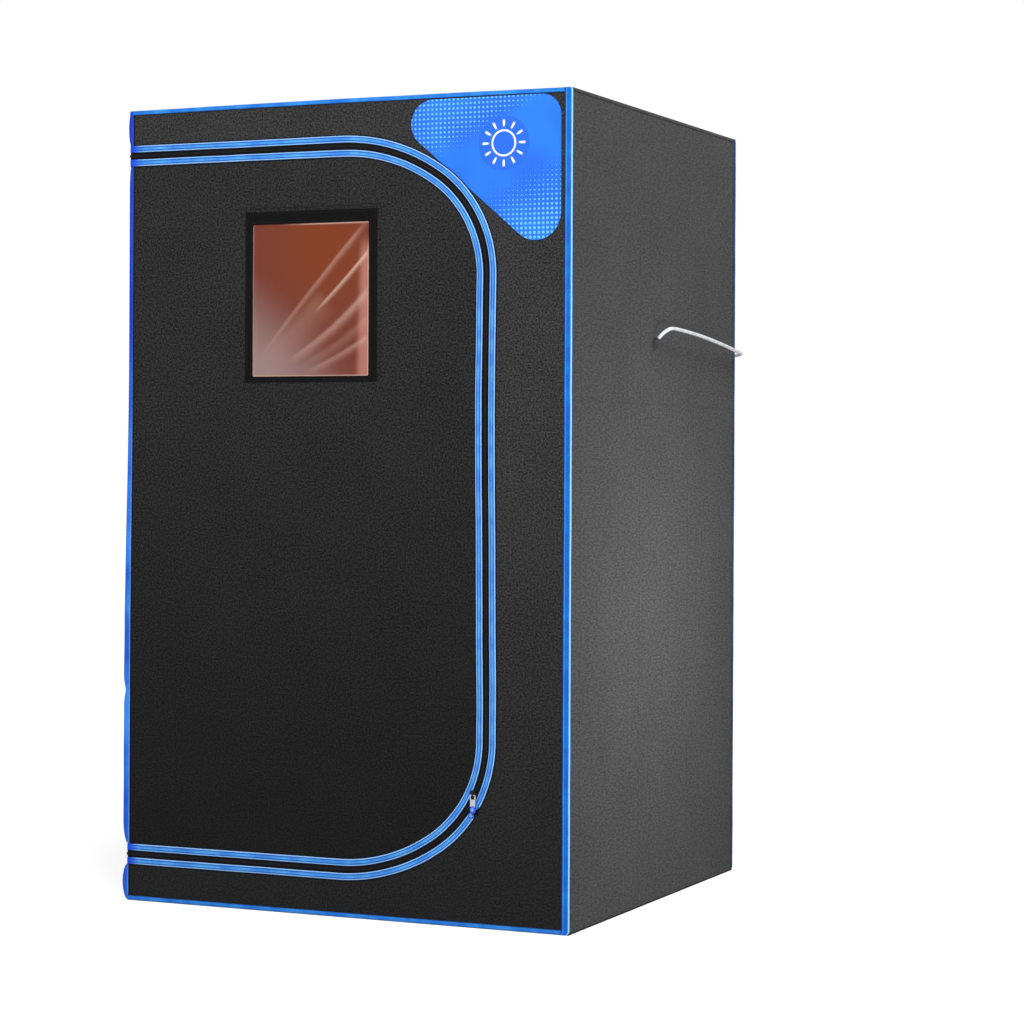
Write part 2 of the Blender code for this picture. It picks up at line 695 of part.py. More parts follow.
def make_puller(puller):
    """The pull tab with the window that the bail passes through, and the moulded tip on its end."""
    bar = TAB_BAR / 2
    top, half, end = SLIDER_Z + bar, TAB_WIDTH / 2, TAB_END_WIDTH / 2
    bottom = SLIDER_Z + bar - TAB_LENGTH
    corner = TAB_BAR
    sill = SLIDER_Z - bar - TAB_WINDOW_LENGTH
    outline = [
        (SLIDER_X - half, sill),
        (SLIDER_X - end, sill - 2 * corner),
        (SLIDER_X - end, bottom),
        (SLIDER_X + end, bottom),
        (SLIDER_X + end, sill - 2 * corner),
        (SLIDER_X + half, sill),
        (SLIDER_X + half, top - corner),
        (SLIDER_X + half - corner, top),
        (SLIDER_X - half + corner, top),
        (SLIDER_X - half, top - corner),
    ]
    gap = TAB_WINDOW_WIDTH / 2
    window = rectangle(SLIDER_X - gap, SLIDER_X + gap, sill, SLIDER_Z - bar)
    place(front_plate("zip_puller", [outline, window], TAB_THICKNESS, TAB_Y), polished_steel(), puller)

    low = bottom - TIP_LENGTH + TIP_GRIP
    half, thick = TIP_WIDTH / 2, TIP_THICKNESS / 2
    tip = box(
        "puller_tip",
        (SLIDER_X - half, TAB_Y - thick, low),
        (SLIDER_X + half, TAB_Y + thick, low + TIP_LENGTH),
    )
    slot_half, slot_thick = end + GAP, TAB_THICKNESS / 2 + GAP
    slot = box(
        "tip_slot",
        (SLIDER_X - slot_half, TAB_Y - slot_thick, bottom - GAP),
        (SLIDER_X + slot_half, TAB_Y + slot_thick, bottom + TIP_LENGTH),
    )
    place(combine(bevel(tip, TIP_THICKNESS / 3), slot, "DIFFERENCE"), blue_plastic(), puller)


def make_window(door):
    """The clear film over the flap's opening and the stitched frame that holds its edge."""
    lap = WINDOW_LAP
    film = rounded_rectangle(
        WINDOW_LEFT - lap, WINDOW_RIGHT + lap, WINDOW_BOTTOM - lap, WINDOW_TOP + lap, WINDOW_ROUNDING
    )
    place(front_plate("window_film", [film], WINDOW_FILM, FILM_Y), window_film_plastic(), door)
    opening = rounded_rectangle(WINDOW_LEFT, WINDOW_RIGHT, WINDOW_BOTTOM, WINDOW_TOP, WINDOW_ROUNDING)
    outer = rectangle(
        WINDOW_LEFT - FRAME_LEFT, WINDOW_RIGHT + FRAME_RIGHT, WINDOW_BOTTOM - FRAME_BOTTOM, WINDOW_TOP + FRAME_TOP
    )
    frame = front_plate("window_frame", [outer, opening], FRAME_THICKNESS, WINDOW_FRAME_Y)
    place(frame, black_fabric(), door)


def make_label():
    """A bare patch: the hull of three circles, one at each corner of a right triangle."""
    left = (LABEL_LEFT + LABEL_LEFT_RADIUS, LABEL_TOP - LABEL_LEFT_RADIUS)
    lower = (LABEL_RIGHT - LABEL_LOWER_RADIUS, LABEL_BOTTOM + LABEL_LOWER_RADIUS)
    upper = (LABEL_RIGHT - LABEL_UPPER_RADIUS, LABEL_TOP - LABEL_UPPER_RADIUS)
    along, down = lower[0] - left[0], lower[1] - left[1]
    lean = math.acos((LABEL_LEFT_RADIUS - LABEL_LOWER_RADIUS) / math.hypot(along, down))
    slant = math.tau + math.atan2(down, along) - lean  # direction square to the sloping edge
    corners = [
        (left, LABEL_LEFT_RADIUS, QUARTER, slant),
        (lower, LABEL_LOWER_RADIUS, slant, math.tau),
        (upper, LABEL_UPPER_RADIUS, 0, QUARTER),
    ]
    outline = []
    for (x, z), radius, first, last in corners:
        for step in range(LABEL_ARC_STEPS + 1):
            angle = first + (last - first) * step / LABEL_ARC_STEPS
            outline.append((x + radius * math.cos(angle), z + radius * math.sin(angle)))
    place(front_plate("label_patch", [outline], LABEL_THICKNESS, LABEL_Y), blue_tape())


def connector_mesh():
    """One three-way corner connector, with sockets along +X, +Y and +Z of its own frame."""
    half = Vector((HUB_HALF, HUB_HALF, HUB_HALF))
    hub = bevel(box("connector_hub", -half, half), HUB_ROUNDING, 1)
    outer = TUBE_RADIUS + GAP + SOCKET_WALL
    directions = (Vector((1, 0, 0)), Vector((0, 1, 0)), Vector((0, 0, 1)))
    for index, way in enumerate(directions):
        arm = cylinder(f"arm_{index}", outer, (0, 0, 0), way * SOCKET_REACH, TUBE_SIDES)
        combine(hub, arm, "UNION")
    for index, way in enumerate(directions):
        far = SOCKET_REACH + OVERRUN
        bore = cylinder(f"bore_{index}", TUBE_RADIUS + GAP, way * BORE_START, way * far, TUBE_SIDES)
        combine(hub, bore, "DIFFERENCE")
    bpy.context.view_layer.update()
    graph = bpy.context.evaluated_depsgraph_get()
    mesh = bpy.data.meshes.new_from_object(hub.evaluated_get(graph))
    bpy.data.objects.remove(hub, do_unlink=True)
    return mesh


def corner_frame(signs):
    """A rotation that points the sockets inwards at the corner with the given signs of X, Y and Z."""
    ways = [Vector((-signs[0], 0, 0)), Vector((0, -signs[1], 0)), Vector((0, 0, -signs[2]))]
    if ways[0].cross(ways[1]).dot(ways[2]) < 0:
        ways[0], ways[1] = ways[1], ways[0]
    return Matrix(ways).transposed().to_4x4()


def tube(name, start, end):
    """A hollow tube between two points: a ring profile turned about its axis."""
    start, end = Vector(start), Vector(end)
    length = (end - start).length
    inner = TUBE_RADIUS - TUBE_WALL
    profile = [(TUBE_RADIUS, length), (TUBE_RADIUS, 0), (inner, 0), (inner, length), (TUBE_RADIUS, length)]
    turn = (end - start).to_track_quat("Z", "Y").to_matrix().to_4x4()
    return turned(name, profile, TUBE_SIDES, Matrix.Translation(start) @ turn)


def make_frame():
    """Eight corner connectors, four uprights and eight rails."""
    mesh = connector_mesh()
    names = {-1: {"x": "left", "y": "front", "z": "lower"}, 1: {"x": "right", "y": "rear", "z": "upper"}}
    for sx in (-1, 1):
        for sy in (-1, 1):
            for sz in (-1, 1):
                label = f"{names[sy]['y']}_{names[sx]['x']}_{names[sz]['z']}_connector"
                corner = new_object(label, mesh.copy())
                z = CORNER_HIGH if sz > 0 else CORNER_LOW
                corner.matrix_world = Matrix.Translation((sx * CORNER_X, sy * CORNER_Y, z)) @ corner_frame((sx, sy, sz))
                place(smooth(corner), black_plastic())
    start = BORE_START + GAP
    for sx in (-1, 1):
        x = sx * CORNER_X
        for sy in (-1, 1):
            y = sy * CORNER_Y
            label = f"{names[sy]['y']}_{names[sx]['x']}_upright"
            place(tube(label, (x, y, CORNER_LOW + start), (x, y, CORNER_HIGH - start)), painted_tube())
        for level, z in (("lower", CORNER_LOW), ("upper", CORNER_HIGH)):
            label = f"{names[sx]['x']}_{level}_rail"
            place(tube(label, (x, -CORNER_Y + start, z), (x, CORNER_Y - start, z)), painted_tube())
    for sy in (-1, 1):
        y = sy * CORNER_Y
        for level, z in (("lower", CORNER_LOW), ("upper", CORNER_HIGH)):
            label = f"{names[sy]['y']}_{level}_rail"
            place(tube(label, (-CORNER_X + start, y, z), (CORNER_X - start, y, z)), painted_tube())


def mains_route():
    """The points of the mains lead's free stretch: along the wall, round the corner, down and out."""
    upper = [Vector((WIDTH / 2 + x, DEPTH / 2 + y, GLAND_Z + z)) for x, y, z in UPPER_ROUTE]
    lower = [Vector((WIDTH / 2 + x, DEPTH / 2 + y, z)) for x, y, z in LOWER_ROUTE]
    steps = FALL_POINTS + 1
    fall = [upper[-1].lerp(lower[0], step / steps) for step in range(1, steps)]
    return [*upper, *fall, *lower]


def smooth_route(points, spacing):
    """Points on a smooth curve through a route, with one at least every spacing."""
    places = [Vector(p) for p in points]
    steps = [(b - a).length for a, b in zip(places, places[1:])]
    slopes = [(b - a) / step for a, b, step in zip(places, places[1:], steps)]
    turns = [slopes[0]]
    for before, after, near, far in zip(slopes, slopes[1:], steps, steps[1:]):
        turns.append((before * near + after * far) / (near + far))
    turns.append(slopes[-1])
    line = []
    for index, step in enumerate(steps):
        count = max(1, math.ceil(step / spacing))
        for k in range(count):
            t = k / count
            line.append(
                places[index] * (2 * t**3 - 3 * t**2 + 1)
                + turns[index] * step * (t**3 - 2 * t**2 + t)
                + places[index + 1] * (3 * t**2 - 2 * t**3)
                + turns[index + 1] * step * (t**3 - t**2)
            )
    line.append(places[-1])
    return line


def cord_tube(name, points, radius, resolution):
    """A round tube with closed ends along points."""
    curve = bpy.data.curves.new(name, "CURVE")
    curve.dimensions = "3D"
    curve.bevel_depth = radius
    curve.bevel_resolution = resolution
    curve.use_fill_caps = True
    spline = curve.splines.new("POLY")
    spline.points.add(len(points) - 1)
    for point, place_at in zip(spline.points, points):
        point.co = (*place_at, 1)
    return new_object(name, curve)


def make_heaters():
    """Flat heating panels on the rear and side walls and a mat on the floor."""
    rear_y = INNER_Y - HEATER / 2
    half_w = REAR_HEATER_WIDTH / 2
    rear = box(
        "rear_heater",
        (-half_w, rear_y - HEATER / 2, REAR_HEATER_FOOT),
        (half_w, rear_y + HEATER / 2, REAR_HEATER_TOP),
    )
    place(bevel(rear, HEATER_ROUNDING), heater_cloth())
    half_w = SIDE_HEATER_WIDTH / 2
    for side, sign in (("left", -1), ("right", 1)):
        x = sign * (INNER_X - HEATER / 2)
        panel = box(
            f"{side}_heater",
            (x - HEATER / 2, SIDE_HEATER_OFFSET - half_w, SIDE_HEATER_FOOT),
            (x + HEATER / 2, SIDE_HEATER_OFFSET + half_w, SIDE_HEATER_TOP),
        )
        place(bevel(panel, HEATER_ROUNDING), heater_cloth())
    half_w, half_l = FOOT_HEATER_WIDTH / 2, FOOT_HEATER_LENGTH / 2
    mat = box(
        "foot_heater",
        (-half_w, FOOT_HEATER_OFFSET - half_l, WALL_FOOT),
        (half_w, FOOT_HEATER_OFFSET + half_l, WALL_FOOT + FOOT_HEATER_THICKNESS),
    )
    place(bevel(mat, HEATER_ROUNDING), heater_cloth())


def make_heater_leads():
    """Short leads held against the lining: controller to right panel, then on to the others."""
    wall_x = INNER_X - LEAD_RADIUS - GAP
    rear_y = INNER_Y - LEAD_RADIUS - GAP
    post_x = CORNER_X - TUBE_RADIUS - LEAD_RADIUS - GAP
    post_y = CORNER_Y - TUBE_RADIUS - LEAD_RADIUS - GAP
    panel_top = SIDE_HEATER_TOP + GAP
    panel_foot = SIDE_HEATER_FOOT - GAP
    panel_rear = SIDE_HEATER_OFFSET + SIDE_HEATER_WIDTH / 2 + GAP
    rear_edge = REAR_HEATER_WIDTH / 2 + GAP
    case_foot = CASE_Z - CASE_HEIGHT / 2 - GAP
    level = SIDE_HEATER_TOP - (SIDE_HEATER_TOP - SIDE_HEATER_FOOT) / 4
    stub = 4 * LEAD_RADIUS

    right = [
        (wall_x, GLAND_Y, case_foot),
        (wall_x, GLAND_Y, case_foot - stub),
        (wall_x, GLAND_Y + stub, (case_foot + panel_top) / 2),
        (wall_x, GLAND_Y, panel_top + stub),
        (wall_x, GLAND_Y, panel_top),
    ]
    make_lead("right_heater_lead", right)

    for side, sign in (("rear", 1), ("left", -1)):
        x_wall, x_post, x_edge = sign * wall_x, sign * post_x, sign * rear_edge
        route = [
            (x_wall, panel_rear, level),
            (x_wall, (panel_rear + post_y) / 2, level),
            (x_post, post_y - 2 * TUBE_RADIUS, level),
            (x_post - sign * 2 * TUBE_RADIUS, post_y, level),
            ((x_post + x_edge) / 2, rear_y, level),
            (x_edge, rear_y, level),
        ]
        make_lead(f"{side}_heater_lead", route)

    mat_edge = FOOT_HEATER_WIDTH / 2 + GAP
    floor_z = WALL_FOOT + LEAD_RADIUS + GAP
    rail_top = CORNER_LOW + TUBE_RADIUS + LEAD_RADIUS + GAP
    rail_x = CORNER_X - TUBE_RADIUS - LEAD_RADIUS - 2 * GAP
    mat_y = FOOT_HEATER_OFFSET + FOOT_HEATER_LENGTH / 4
    bend = 2 * TUBE_RADIUS
    foot = [
        (wall_x, mat_y, panel_foot),
        (wall_x, mat_y, rail_top + 4 * bend),
        (rail_x, mat_y, rail_top + bend),
        (rail_x, mat_y, floor_z),
        (mat_edge, mat_y, floor_z),
    ]
    make_lead("foot_heater_lead", foot)


def rounded_route(points, radius, steps=5):
    """Points along a broken line with each inner corner rounded, so that it never bulges outwards."""
    places = [Vector(p) for p in points]
    line = [places[0]]
    for before, corner, after in zip(places, places[1:], places[2:]):
        back, on = before - corner, after - corner
        cut = min(radius, back.length / 2.5, on.length / 2.5)
        start, end = corner + back.normalized() * cut, corner + on.normalized() * cut
        for step in range(steps + 1):
            t = step / steps
            line.append(start * (1 - t) ** 2 + corner * (2 * t * (1 - t)) + end * t**2)
    line.append(places[-1])
    return line


def make_lead(name, route):
    line = rounded_route(route, 3 * TUBE_RADIUS)
    place(cord_tube(name, line, LEAD_RADIUS, 1), black_plastic())


def make_controller(buttons):
    """The controller's case on the right wall, with its display and three push buttons."""
    half_y, half_z = CASE_WIDTH / 2, CASE_HEIGHT / 2
    case = box(
        "controller_case",
        (CASE_FACE, GLAND_Y - half_y, CASE_Z - half_z),
        (INNER_X, GLAND_Y + half_y, CASE_Z + half_z),
    )
    bevel(case, CASE_ROUNDING)
    seat_y, seat_z = DISPLAY_WIDTH / 2, DISPLAY_HEIGHT / 2
    middle = CASE_Z + DISPLAY_RISE
    pocket = box(
        "display_pocket",
        (CASE_FACE - OVERRUN, GLAND_Y - seat_y - GAP, middle - seat_z - GAP),
        (CASE_FACE + DISPLAY_DEPTH + GAP, GLAND_Y + seat_y + GAP, middle + seat_z + GAP),
    )
    combine(case, pocket, "DIFFERENCE")
    display = box(
        "controller_display",
        (CASE_FACE - DISPLAY_PROUD, GLAND_Y - seat_y, middle - seat_z),
        (CASE_FACE + DISPLAY_DEPTH, GLAND_Y + seat_y, middle + seat_z),
    )
    place(display, black_plastic())
    deep = CASE_FACE - BUTTON_PROUD + BUTTON_LENGTH + BUTTON_TRAVEL + GAP
    for name, empty in buttons.items():
        y, z = empty.matrix_world.translation.y, empty.matrix_world.translation.z
        well = cylinder(
            f"{name}_well", BUTTON_RADIUS + GAP, (CASE_FACE - OVERRUN, y, z), (deep, y, z), BUTTON_SIDES
        )
        combine(case, well, "DIFFERENCE")
        start = CASE_FACE - BUTTON_PROUD
        cap = cylinder(name, BUTTON_RADIUS, (start, y, z), (start + BUTTON_LENGTH, y, z), BUTTON_SIDES)
        place(smooth(bevel(cap, BUTTON_ROUNDING, 1)), white_plastic(), empty)
    place(case, white_plastic())


def make_gland():
    """The gland: a barrel through the wall, a flange outside it and a short boot that points upwards."""
    wall = Vector((SIDE, GLAND_Y, GLAND_Z))
    inner = Vector((INNER_X, GLAND_Y, GLAND_Z))
    out = Vector((1, 0, 0))
    gland = cylinder("cord_gland", GLAND_BARREL_RADIUS, inner + out * GAP, wall + out * GLAND_FLANGE, GLAND_SIDES)
    flange = cylinder(
        "gland_flange", GLAND_FLANGE_RADIUS, wall + out * GAP, wall + out * GLAND_FLANGE, GLAND_SIDES
    )
    combine(gland, flange, "UNION")
    start, after = mains_route()[:2]
    way = (after - start).normalized()
    tip = start - way * GAP
    root = tip - way * BOOT_REACH
    boot = cylinder("gland_boot", BOOT_ROOT_RADIUS, root, tip, GLAND_SIDES, tip_radius=BOOT_TIP_RADIUS)
    combine(gland, boot, "UNION")
    place(smooth(gland), black_plastic())


def coil_centre():
    """The middle of the coil's lower layer: its loops start one lead's width past the free stretch."""
    return mains_route()[-1] + Vector((-COIL_OUTER, LEAD, 0))


def coil_points():
    """The coil's line: loops inwards on the floor, a climb, loops outwards on top, then a short tail.

    The height climbs one layer during the half turn about the place where the spiral reverses.
    """
    centre = coil_centre()
    half_turns = COIL_TURNS / 2
    line = [mains_route()[-1] + Vector((0, GAP, 0))]
    count = COIL_TURNS * COIL_STEPS
    for step in range(count + 1):
        turn = step / COIL_STEPS
        radius = COIL_OUTER - COIL_PITCH * (half_turns - abs(turn - half_turns))
        climb = min(max((turn - half_turns) * 2 + 0.5, 0), 1)
        height = COIL_PITCH * (3 * climb**2 - 2 * climb**3)
        angle = math.tau * turn
        line.append(centre + Vector((radius * math.cos(angle), radius * math.sin(angle), height)))
    end = line[-1]
    for step in range(1, TAIL_STEPS + 1):
        share = step / TAIL_STEPS
        rise = TAIL_RISE * (3 * share**2 - 2 * share**3)
        line.append(end + Vector((0, TAIL_RUN * share, rise)))
    line.append(line[-1] + Vector((0, LEAD, 0)))
    return line


def least_gap(line):
    """The least distance between the surfaces of two parts of a coil that lie most of a turn apart."""
    apart = COIL_STEPS * 2 // 3
    least = min((a - b).length for i, a in enumerate(line) for b in line[i + apart :])
    return least - LEAD


def make_mains_lead():
    """The lead's free stretch, its coil with the tie, and the plug on its end."""
    free = smooth_route(mains_route(), LEAD * ROUTE_SPACING_SHARE)
    place(cord_tube("mains_cord", free, LEAD / 2, 2), white_plastic())
    line = coil_points()
    place(cord_tube("cord_coil", line, LEAD / 2, 1), white_plastic())
    print(f"least gap of the coil to itself: {least_gap(line) * 1000:.2f} mm")

    centre = coil_centre()
    far = centre.x - COIL_OUTER + COIL_PITCH / 2 - LEAD / 2 - TIE_SLACK
    near = far + COIL_PITCH + LEAD + 2 * TIE_SLACK
    low = centre.z - LEAD / 2 - GAP
    high = centre.z + COIL_PITCH + LEAD / 2 + GAP
    t = TIE_THICKNESS
    outer = rounded_rectangle(far - t, near + t, low - t, high + t, TIE_ROUNDING + t)
    inner = rounded_rectangle(far, near, low, high, TIE_ROUNDING)
    place(front_plate("coil_tie", [outer, inner], TIE_WIDTH, centre.y), black_plastic())
    make_plug(line[-1] + Vector((0, GAP, 0)))


def make_plug(start):
    """An earthed plug: a tapered relief, a neck and a round body, with two pins in its face."""
    neck = PLUG_RELIEF_LENGTH + PLUG_NECK_LENGTH
    shoulder = neck + PLUG_SHOULDER
    face = shoulder + PLUG_BODY_LENGTH
    profile = [
        (0, face),
        (PLUG_BODY_RADIUS, face),
        (PLUG_BODY_RADIUS, shoulder),
        (PLUG_BODY_RADIUS * PLUG_SHOULDER_SHARE, neck + PLUG_SHOULDER / 3),
        (PLUG_NECK_RADIUS, neck),
        (PLUG_NECK_RADIUS, PLUG_RELIEF_LENGTH),
        (PLUG_RELIEF_RADIUS, 0),
        (0, 0),
    ]
    turn = Vector((0, 1, 0)).to_track_quat("Z", "X").to_matrix().to_4x4()
    plug = turned("plug", profile, PLUG_SIDES, Matrix.Translation(start) @ turn)
    end = start + Vector((0, face, 0))
    for index, sign in enumerate((-1, 1)):
        offset = Vector((sign * PIN_SPACING / 2, 0, 0))
        root = end + offset - Vector((0, PIN_ROOT, 0))
        pin = cylinder(f"pin_{index}", PIN_RADIUS, root, root + Vector((0, PIN_ROOT + PIN_LENGTH, 0)), TUBE_SIDES)
        combine(plug, pin, "UNION")
    place(smooth(plug), white_plastic())


def make_keeper():
    """A webbing loop: two flaps sewn to the rear wall and a bridge that passes over the lead."""
    webbing = KEEPER_WEBBING
    back = FACE + GAP
    lead_top = back + webbing + LEAD + 2 * KEEPER_SLACK
    bore_half = LEAD / 2 + KEEPER_SLACK
    half = bore_half + webbing
    outline = [
        (back, KEEPER_Z - half - KEEPER_FLAP),
        (back, KEEPER_Z + half + KEEPER_FLAP),
        (back + webbing, KEEPER_Z + half + KEEPER_FLAP),
        (back + webbing, KEEPER_Z + half),
        (lead_top + webbing, KEEPER_Z + half),
        (lead_top + webbing, KEEPER_Z - half),
        (back + webbing, KEEPER_Z - half),
        (back + webbing, KEEPER_Z - half - KEEPER_FLAP),
    ]
    bore = rectangle(back + webbing, lead_top, KEEPER_Z - bore_half, KEEPER_Z + bore_half)
    keeper = side_plate("cord_keeper", [outline, bore], KEEPER_WIDTH, KEEPER_X)
    place(keeper, black_fabric())


def main():
    clear_scene()
    door = pivot("door_axis", (HINGE_X, HINGE_Y, 0))
    slider = pivot("slider_axis", (SIDE_ARC_X, SLIDER_Y, LOWER_ARC_Z), door)
    puller = pivot("puller_axis", (SLIDER_X, TAB_Y, SLIDER_Z), slider)
    buttons = {
        name: pivot(f"{name}_axis", (CASE_FACE, GLAND_Y + place_at * BUTTON_SPACING, CASE_Z - BUTTON_DROP))
        for name, place_at in (("power_button", -1), ("timer_button", 0), ("heat_button", 1))
    }
    make_walls(door)
    make_bindings(door)
    make_zip(door)
    make_slider(slider)
    make_puller(puller)
    make_window(door)
    make_label()
    make_frame()
    make_heaters()
    make_heater_leads()
    make_controller(buttons)
    make_gland()
    make_mains_lead()
    make_keeper()


main()
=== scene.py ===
"""Looks of a portable infrared sauna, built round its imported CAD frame.

The frame is in metres with +Z up. The tent's front faces -Y and the origin is at the middle of its base.
Every surface is computed from two parameters with numpy, and every material is a node network.
"""

from __future__ import annotations

import logging
import math
from dataclasses import dataclass
from enum import Enum
from typing import Any

import bpy
import numpy as np
from mathutils import Matrix, Vector

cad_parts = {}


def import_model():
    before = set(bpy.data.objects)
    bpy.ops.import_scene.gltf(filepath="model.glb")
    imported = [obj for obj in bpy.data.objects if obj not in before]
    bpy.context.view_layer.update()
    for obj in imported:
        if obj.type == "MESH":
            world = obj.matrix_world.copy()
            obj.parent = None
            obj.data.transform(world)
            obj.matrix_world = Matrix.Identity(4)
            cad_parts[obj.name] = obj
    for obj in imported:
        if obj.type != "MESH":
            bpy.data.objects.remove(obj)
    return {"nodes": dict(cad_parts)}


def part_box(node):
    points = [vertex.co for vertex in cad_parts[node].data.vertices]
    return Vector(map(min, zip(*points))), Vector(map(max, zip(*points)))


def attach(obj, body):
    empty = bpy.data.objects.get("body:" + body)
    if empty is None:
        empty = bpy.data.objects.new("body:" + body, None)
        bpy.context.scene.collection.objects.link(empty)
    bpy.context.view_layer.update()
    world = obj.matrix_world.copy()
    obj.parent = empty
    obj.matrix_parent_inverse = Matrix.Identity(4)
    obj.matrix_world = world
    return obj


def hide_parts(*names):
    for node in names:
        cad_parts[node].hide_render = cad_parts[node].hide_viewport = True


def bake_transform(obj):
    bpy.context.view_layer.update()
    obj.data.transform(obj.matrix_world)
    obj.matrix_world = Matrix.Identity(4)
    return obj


Array = np.ndarray
Tree = bpy.types.NodeTree
Thing = bpy.types.Object
LOG = logging.getLogger("sauna")
MM = 0.001
TAU = math.tau
QUARTER = math.pi / 2
# Settings of a Map Range node that rises smoothly, and of a Mix node for colours with its output.
STEP = {"interpolation_type": "SMOOTHSTEP"}
COLOURS = {"data_type": "RGBA", "out": 2}
# Scale of a Wave Texture whose bands repeat after one metre.
WAVE = 0.314159


def linear(code: str) -> tuple[float, float, float, float]:
    """Turns one sRGB hex code into the linear colour that a shader takes.

    Args:
        code: a colour such as "#3f8cf8".

    Returns:
        Red, green, blue and alpha, linear.
    """
    parts = [int(code[at : at + 2], 16) / 255 for at in (1, 3, 5)]
    return (*[c / 12.92 if c <= 0.04045 else ((c + 0.055) / 1.055) ** 2.4 for c in parts], 1.0)


def node(tree: Tree, kind: str, feeds: dict[Any, Any], out: int | str = 0, **settings: Any) -> Flow:
    """Adds one node to a shader and gives one of its outputs.

    Args:
        tree: the node tree.
        kind: the node's type without its ShaderNode prefix.
        feeds: what goes into its inputs, by name or number: a number, an sRGB code or another output.
        out: name or number of the wanted output.
        settings: the node's own options.

    Returns:
        The output.
    """
    made = tree.nodes.new("ShaderNode" + kind)
    for key, value in settings.items():
        setattr(made, key, value)
    for key, value in feeds.items():
        if isinstance(value, Flow):
            tree.links.new(value.socket, made.inputs[key])
        else:
            made.inputs[key].default_value = linear(value) if isinstance(value, str) else value
    return Flow(tree, made.outputs[out])


@dataclass(frozen=True)
class Flow:
    """A value that flows out of a node. Arithmetic on it adds the nodes that work it out."""

    tree: Tree
    socket: bpy.types.NodeSocket

    def math(self, operation: str, *others: Any, **settings: Any) -> Flow:
        """The result of an arithmetic operation on this value and the others."""
        return node(self.tree, "Math", dict(enumerate((self, *others))), operation=operation, **settings)

    def __add__(self, other: Any) -> Flow:
        """The sum."""
        return self.math("ADD", other)

    def __sub__(self, other: Any) -> Flow:
        """The difference."""
        return self.math("SUBTRACT", other)

    def __rsub__(self, other: float) -> Flow:
        """A number less this value."""
        return node(self.tree, "Math", {0: other, 1: self}, operation="SUBTRACT")

    def __mul__(self, other: Any) -> Flow:
        """The product."""
        return self.math("MULTIPLY", other)

    def near(self, centre: float, half: float) -> Flow:
        """1 on a soft line where this value is centre, and 0 beyond half its width."""
        away = (self - centre).math("ABSOLUTE")
        return 1.0 - node(self.tree, "MapRange", {0: away, 1: half * 0.3, 2: half}, **STEP)


def fill(shader: bpy.types.Node, values: dict[str, Any]) -> None:
    """Sets or links inputs of a shader by name."""
    for key, value in values.items():
        if isinstance(value, Flow):
            value.tree.links.new(value.socket, shader.inputs[key])
        else:
            shader.inputs[key].default_value = value


def apart(x: Flow, y: Flow) -> Flow:
    """Length of a flat vector from its two coordinates."""
    return (x * x + y * y).math("SQRT")


class Place(Enum):
    """Which coordinates a pattern follows."""

    SURFACE = "UV"
    SPACE = "Object"


@dataclass(frozen=True)
class Finish:
    """A material of the model. Subclasses fill in its pattern.

    Args:
        name: the material's name.
        colour: its main colour in sRGB.
        rough: roughness of its surface.
    """

    name: str
    colour: str
    rough: float

    def material(self) -> bpy.types.Material:
        """Makes the material once and gives it back each further time."""
        known = bpy.data.materials.get(f"finish_{self.name}")
        if known:
            return known
        made = bpy.data.materials.new(f"finish_{self.name}")
        made.use_nodes = True
        tree = made.node_tree
        shader = tree.nodes["Principled BSDF"]
        made.diffuse_color = linear(self.colour)
        fill(shader, {"Base Color": made.diffuse_color, "Roughness": self.rough})
        self.pattern(tree, shader)
        return made

    def place(self, tree: Tree, where: Place) -> Flow:
        """The coordinates of a pattern, in metres."""
        return node(tree, "TexCoord", {}, where.value)

    def pattern(self, tree: Tree, shader: bpy.types.Node) -> None:
        """Adds what varies over the surface."""


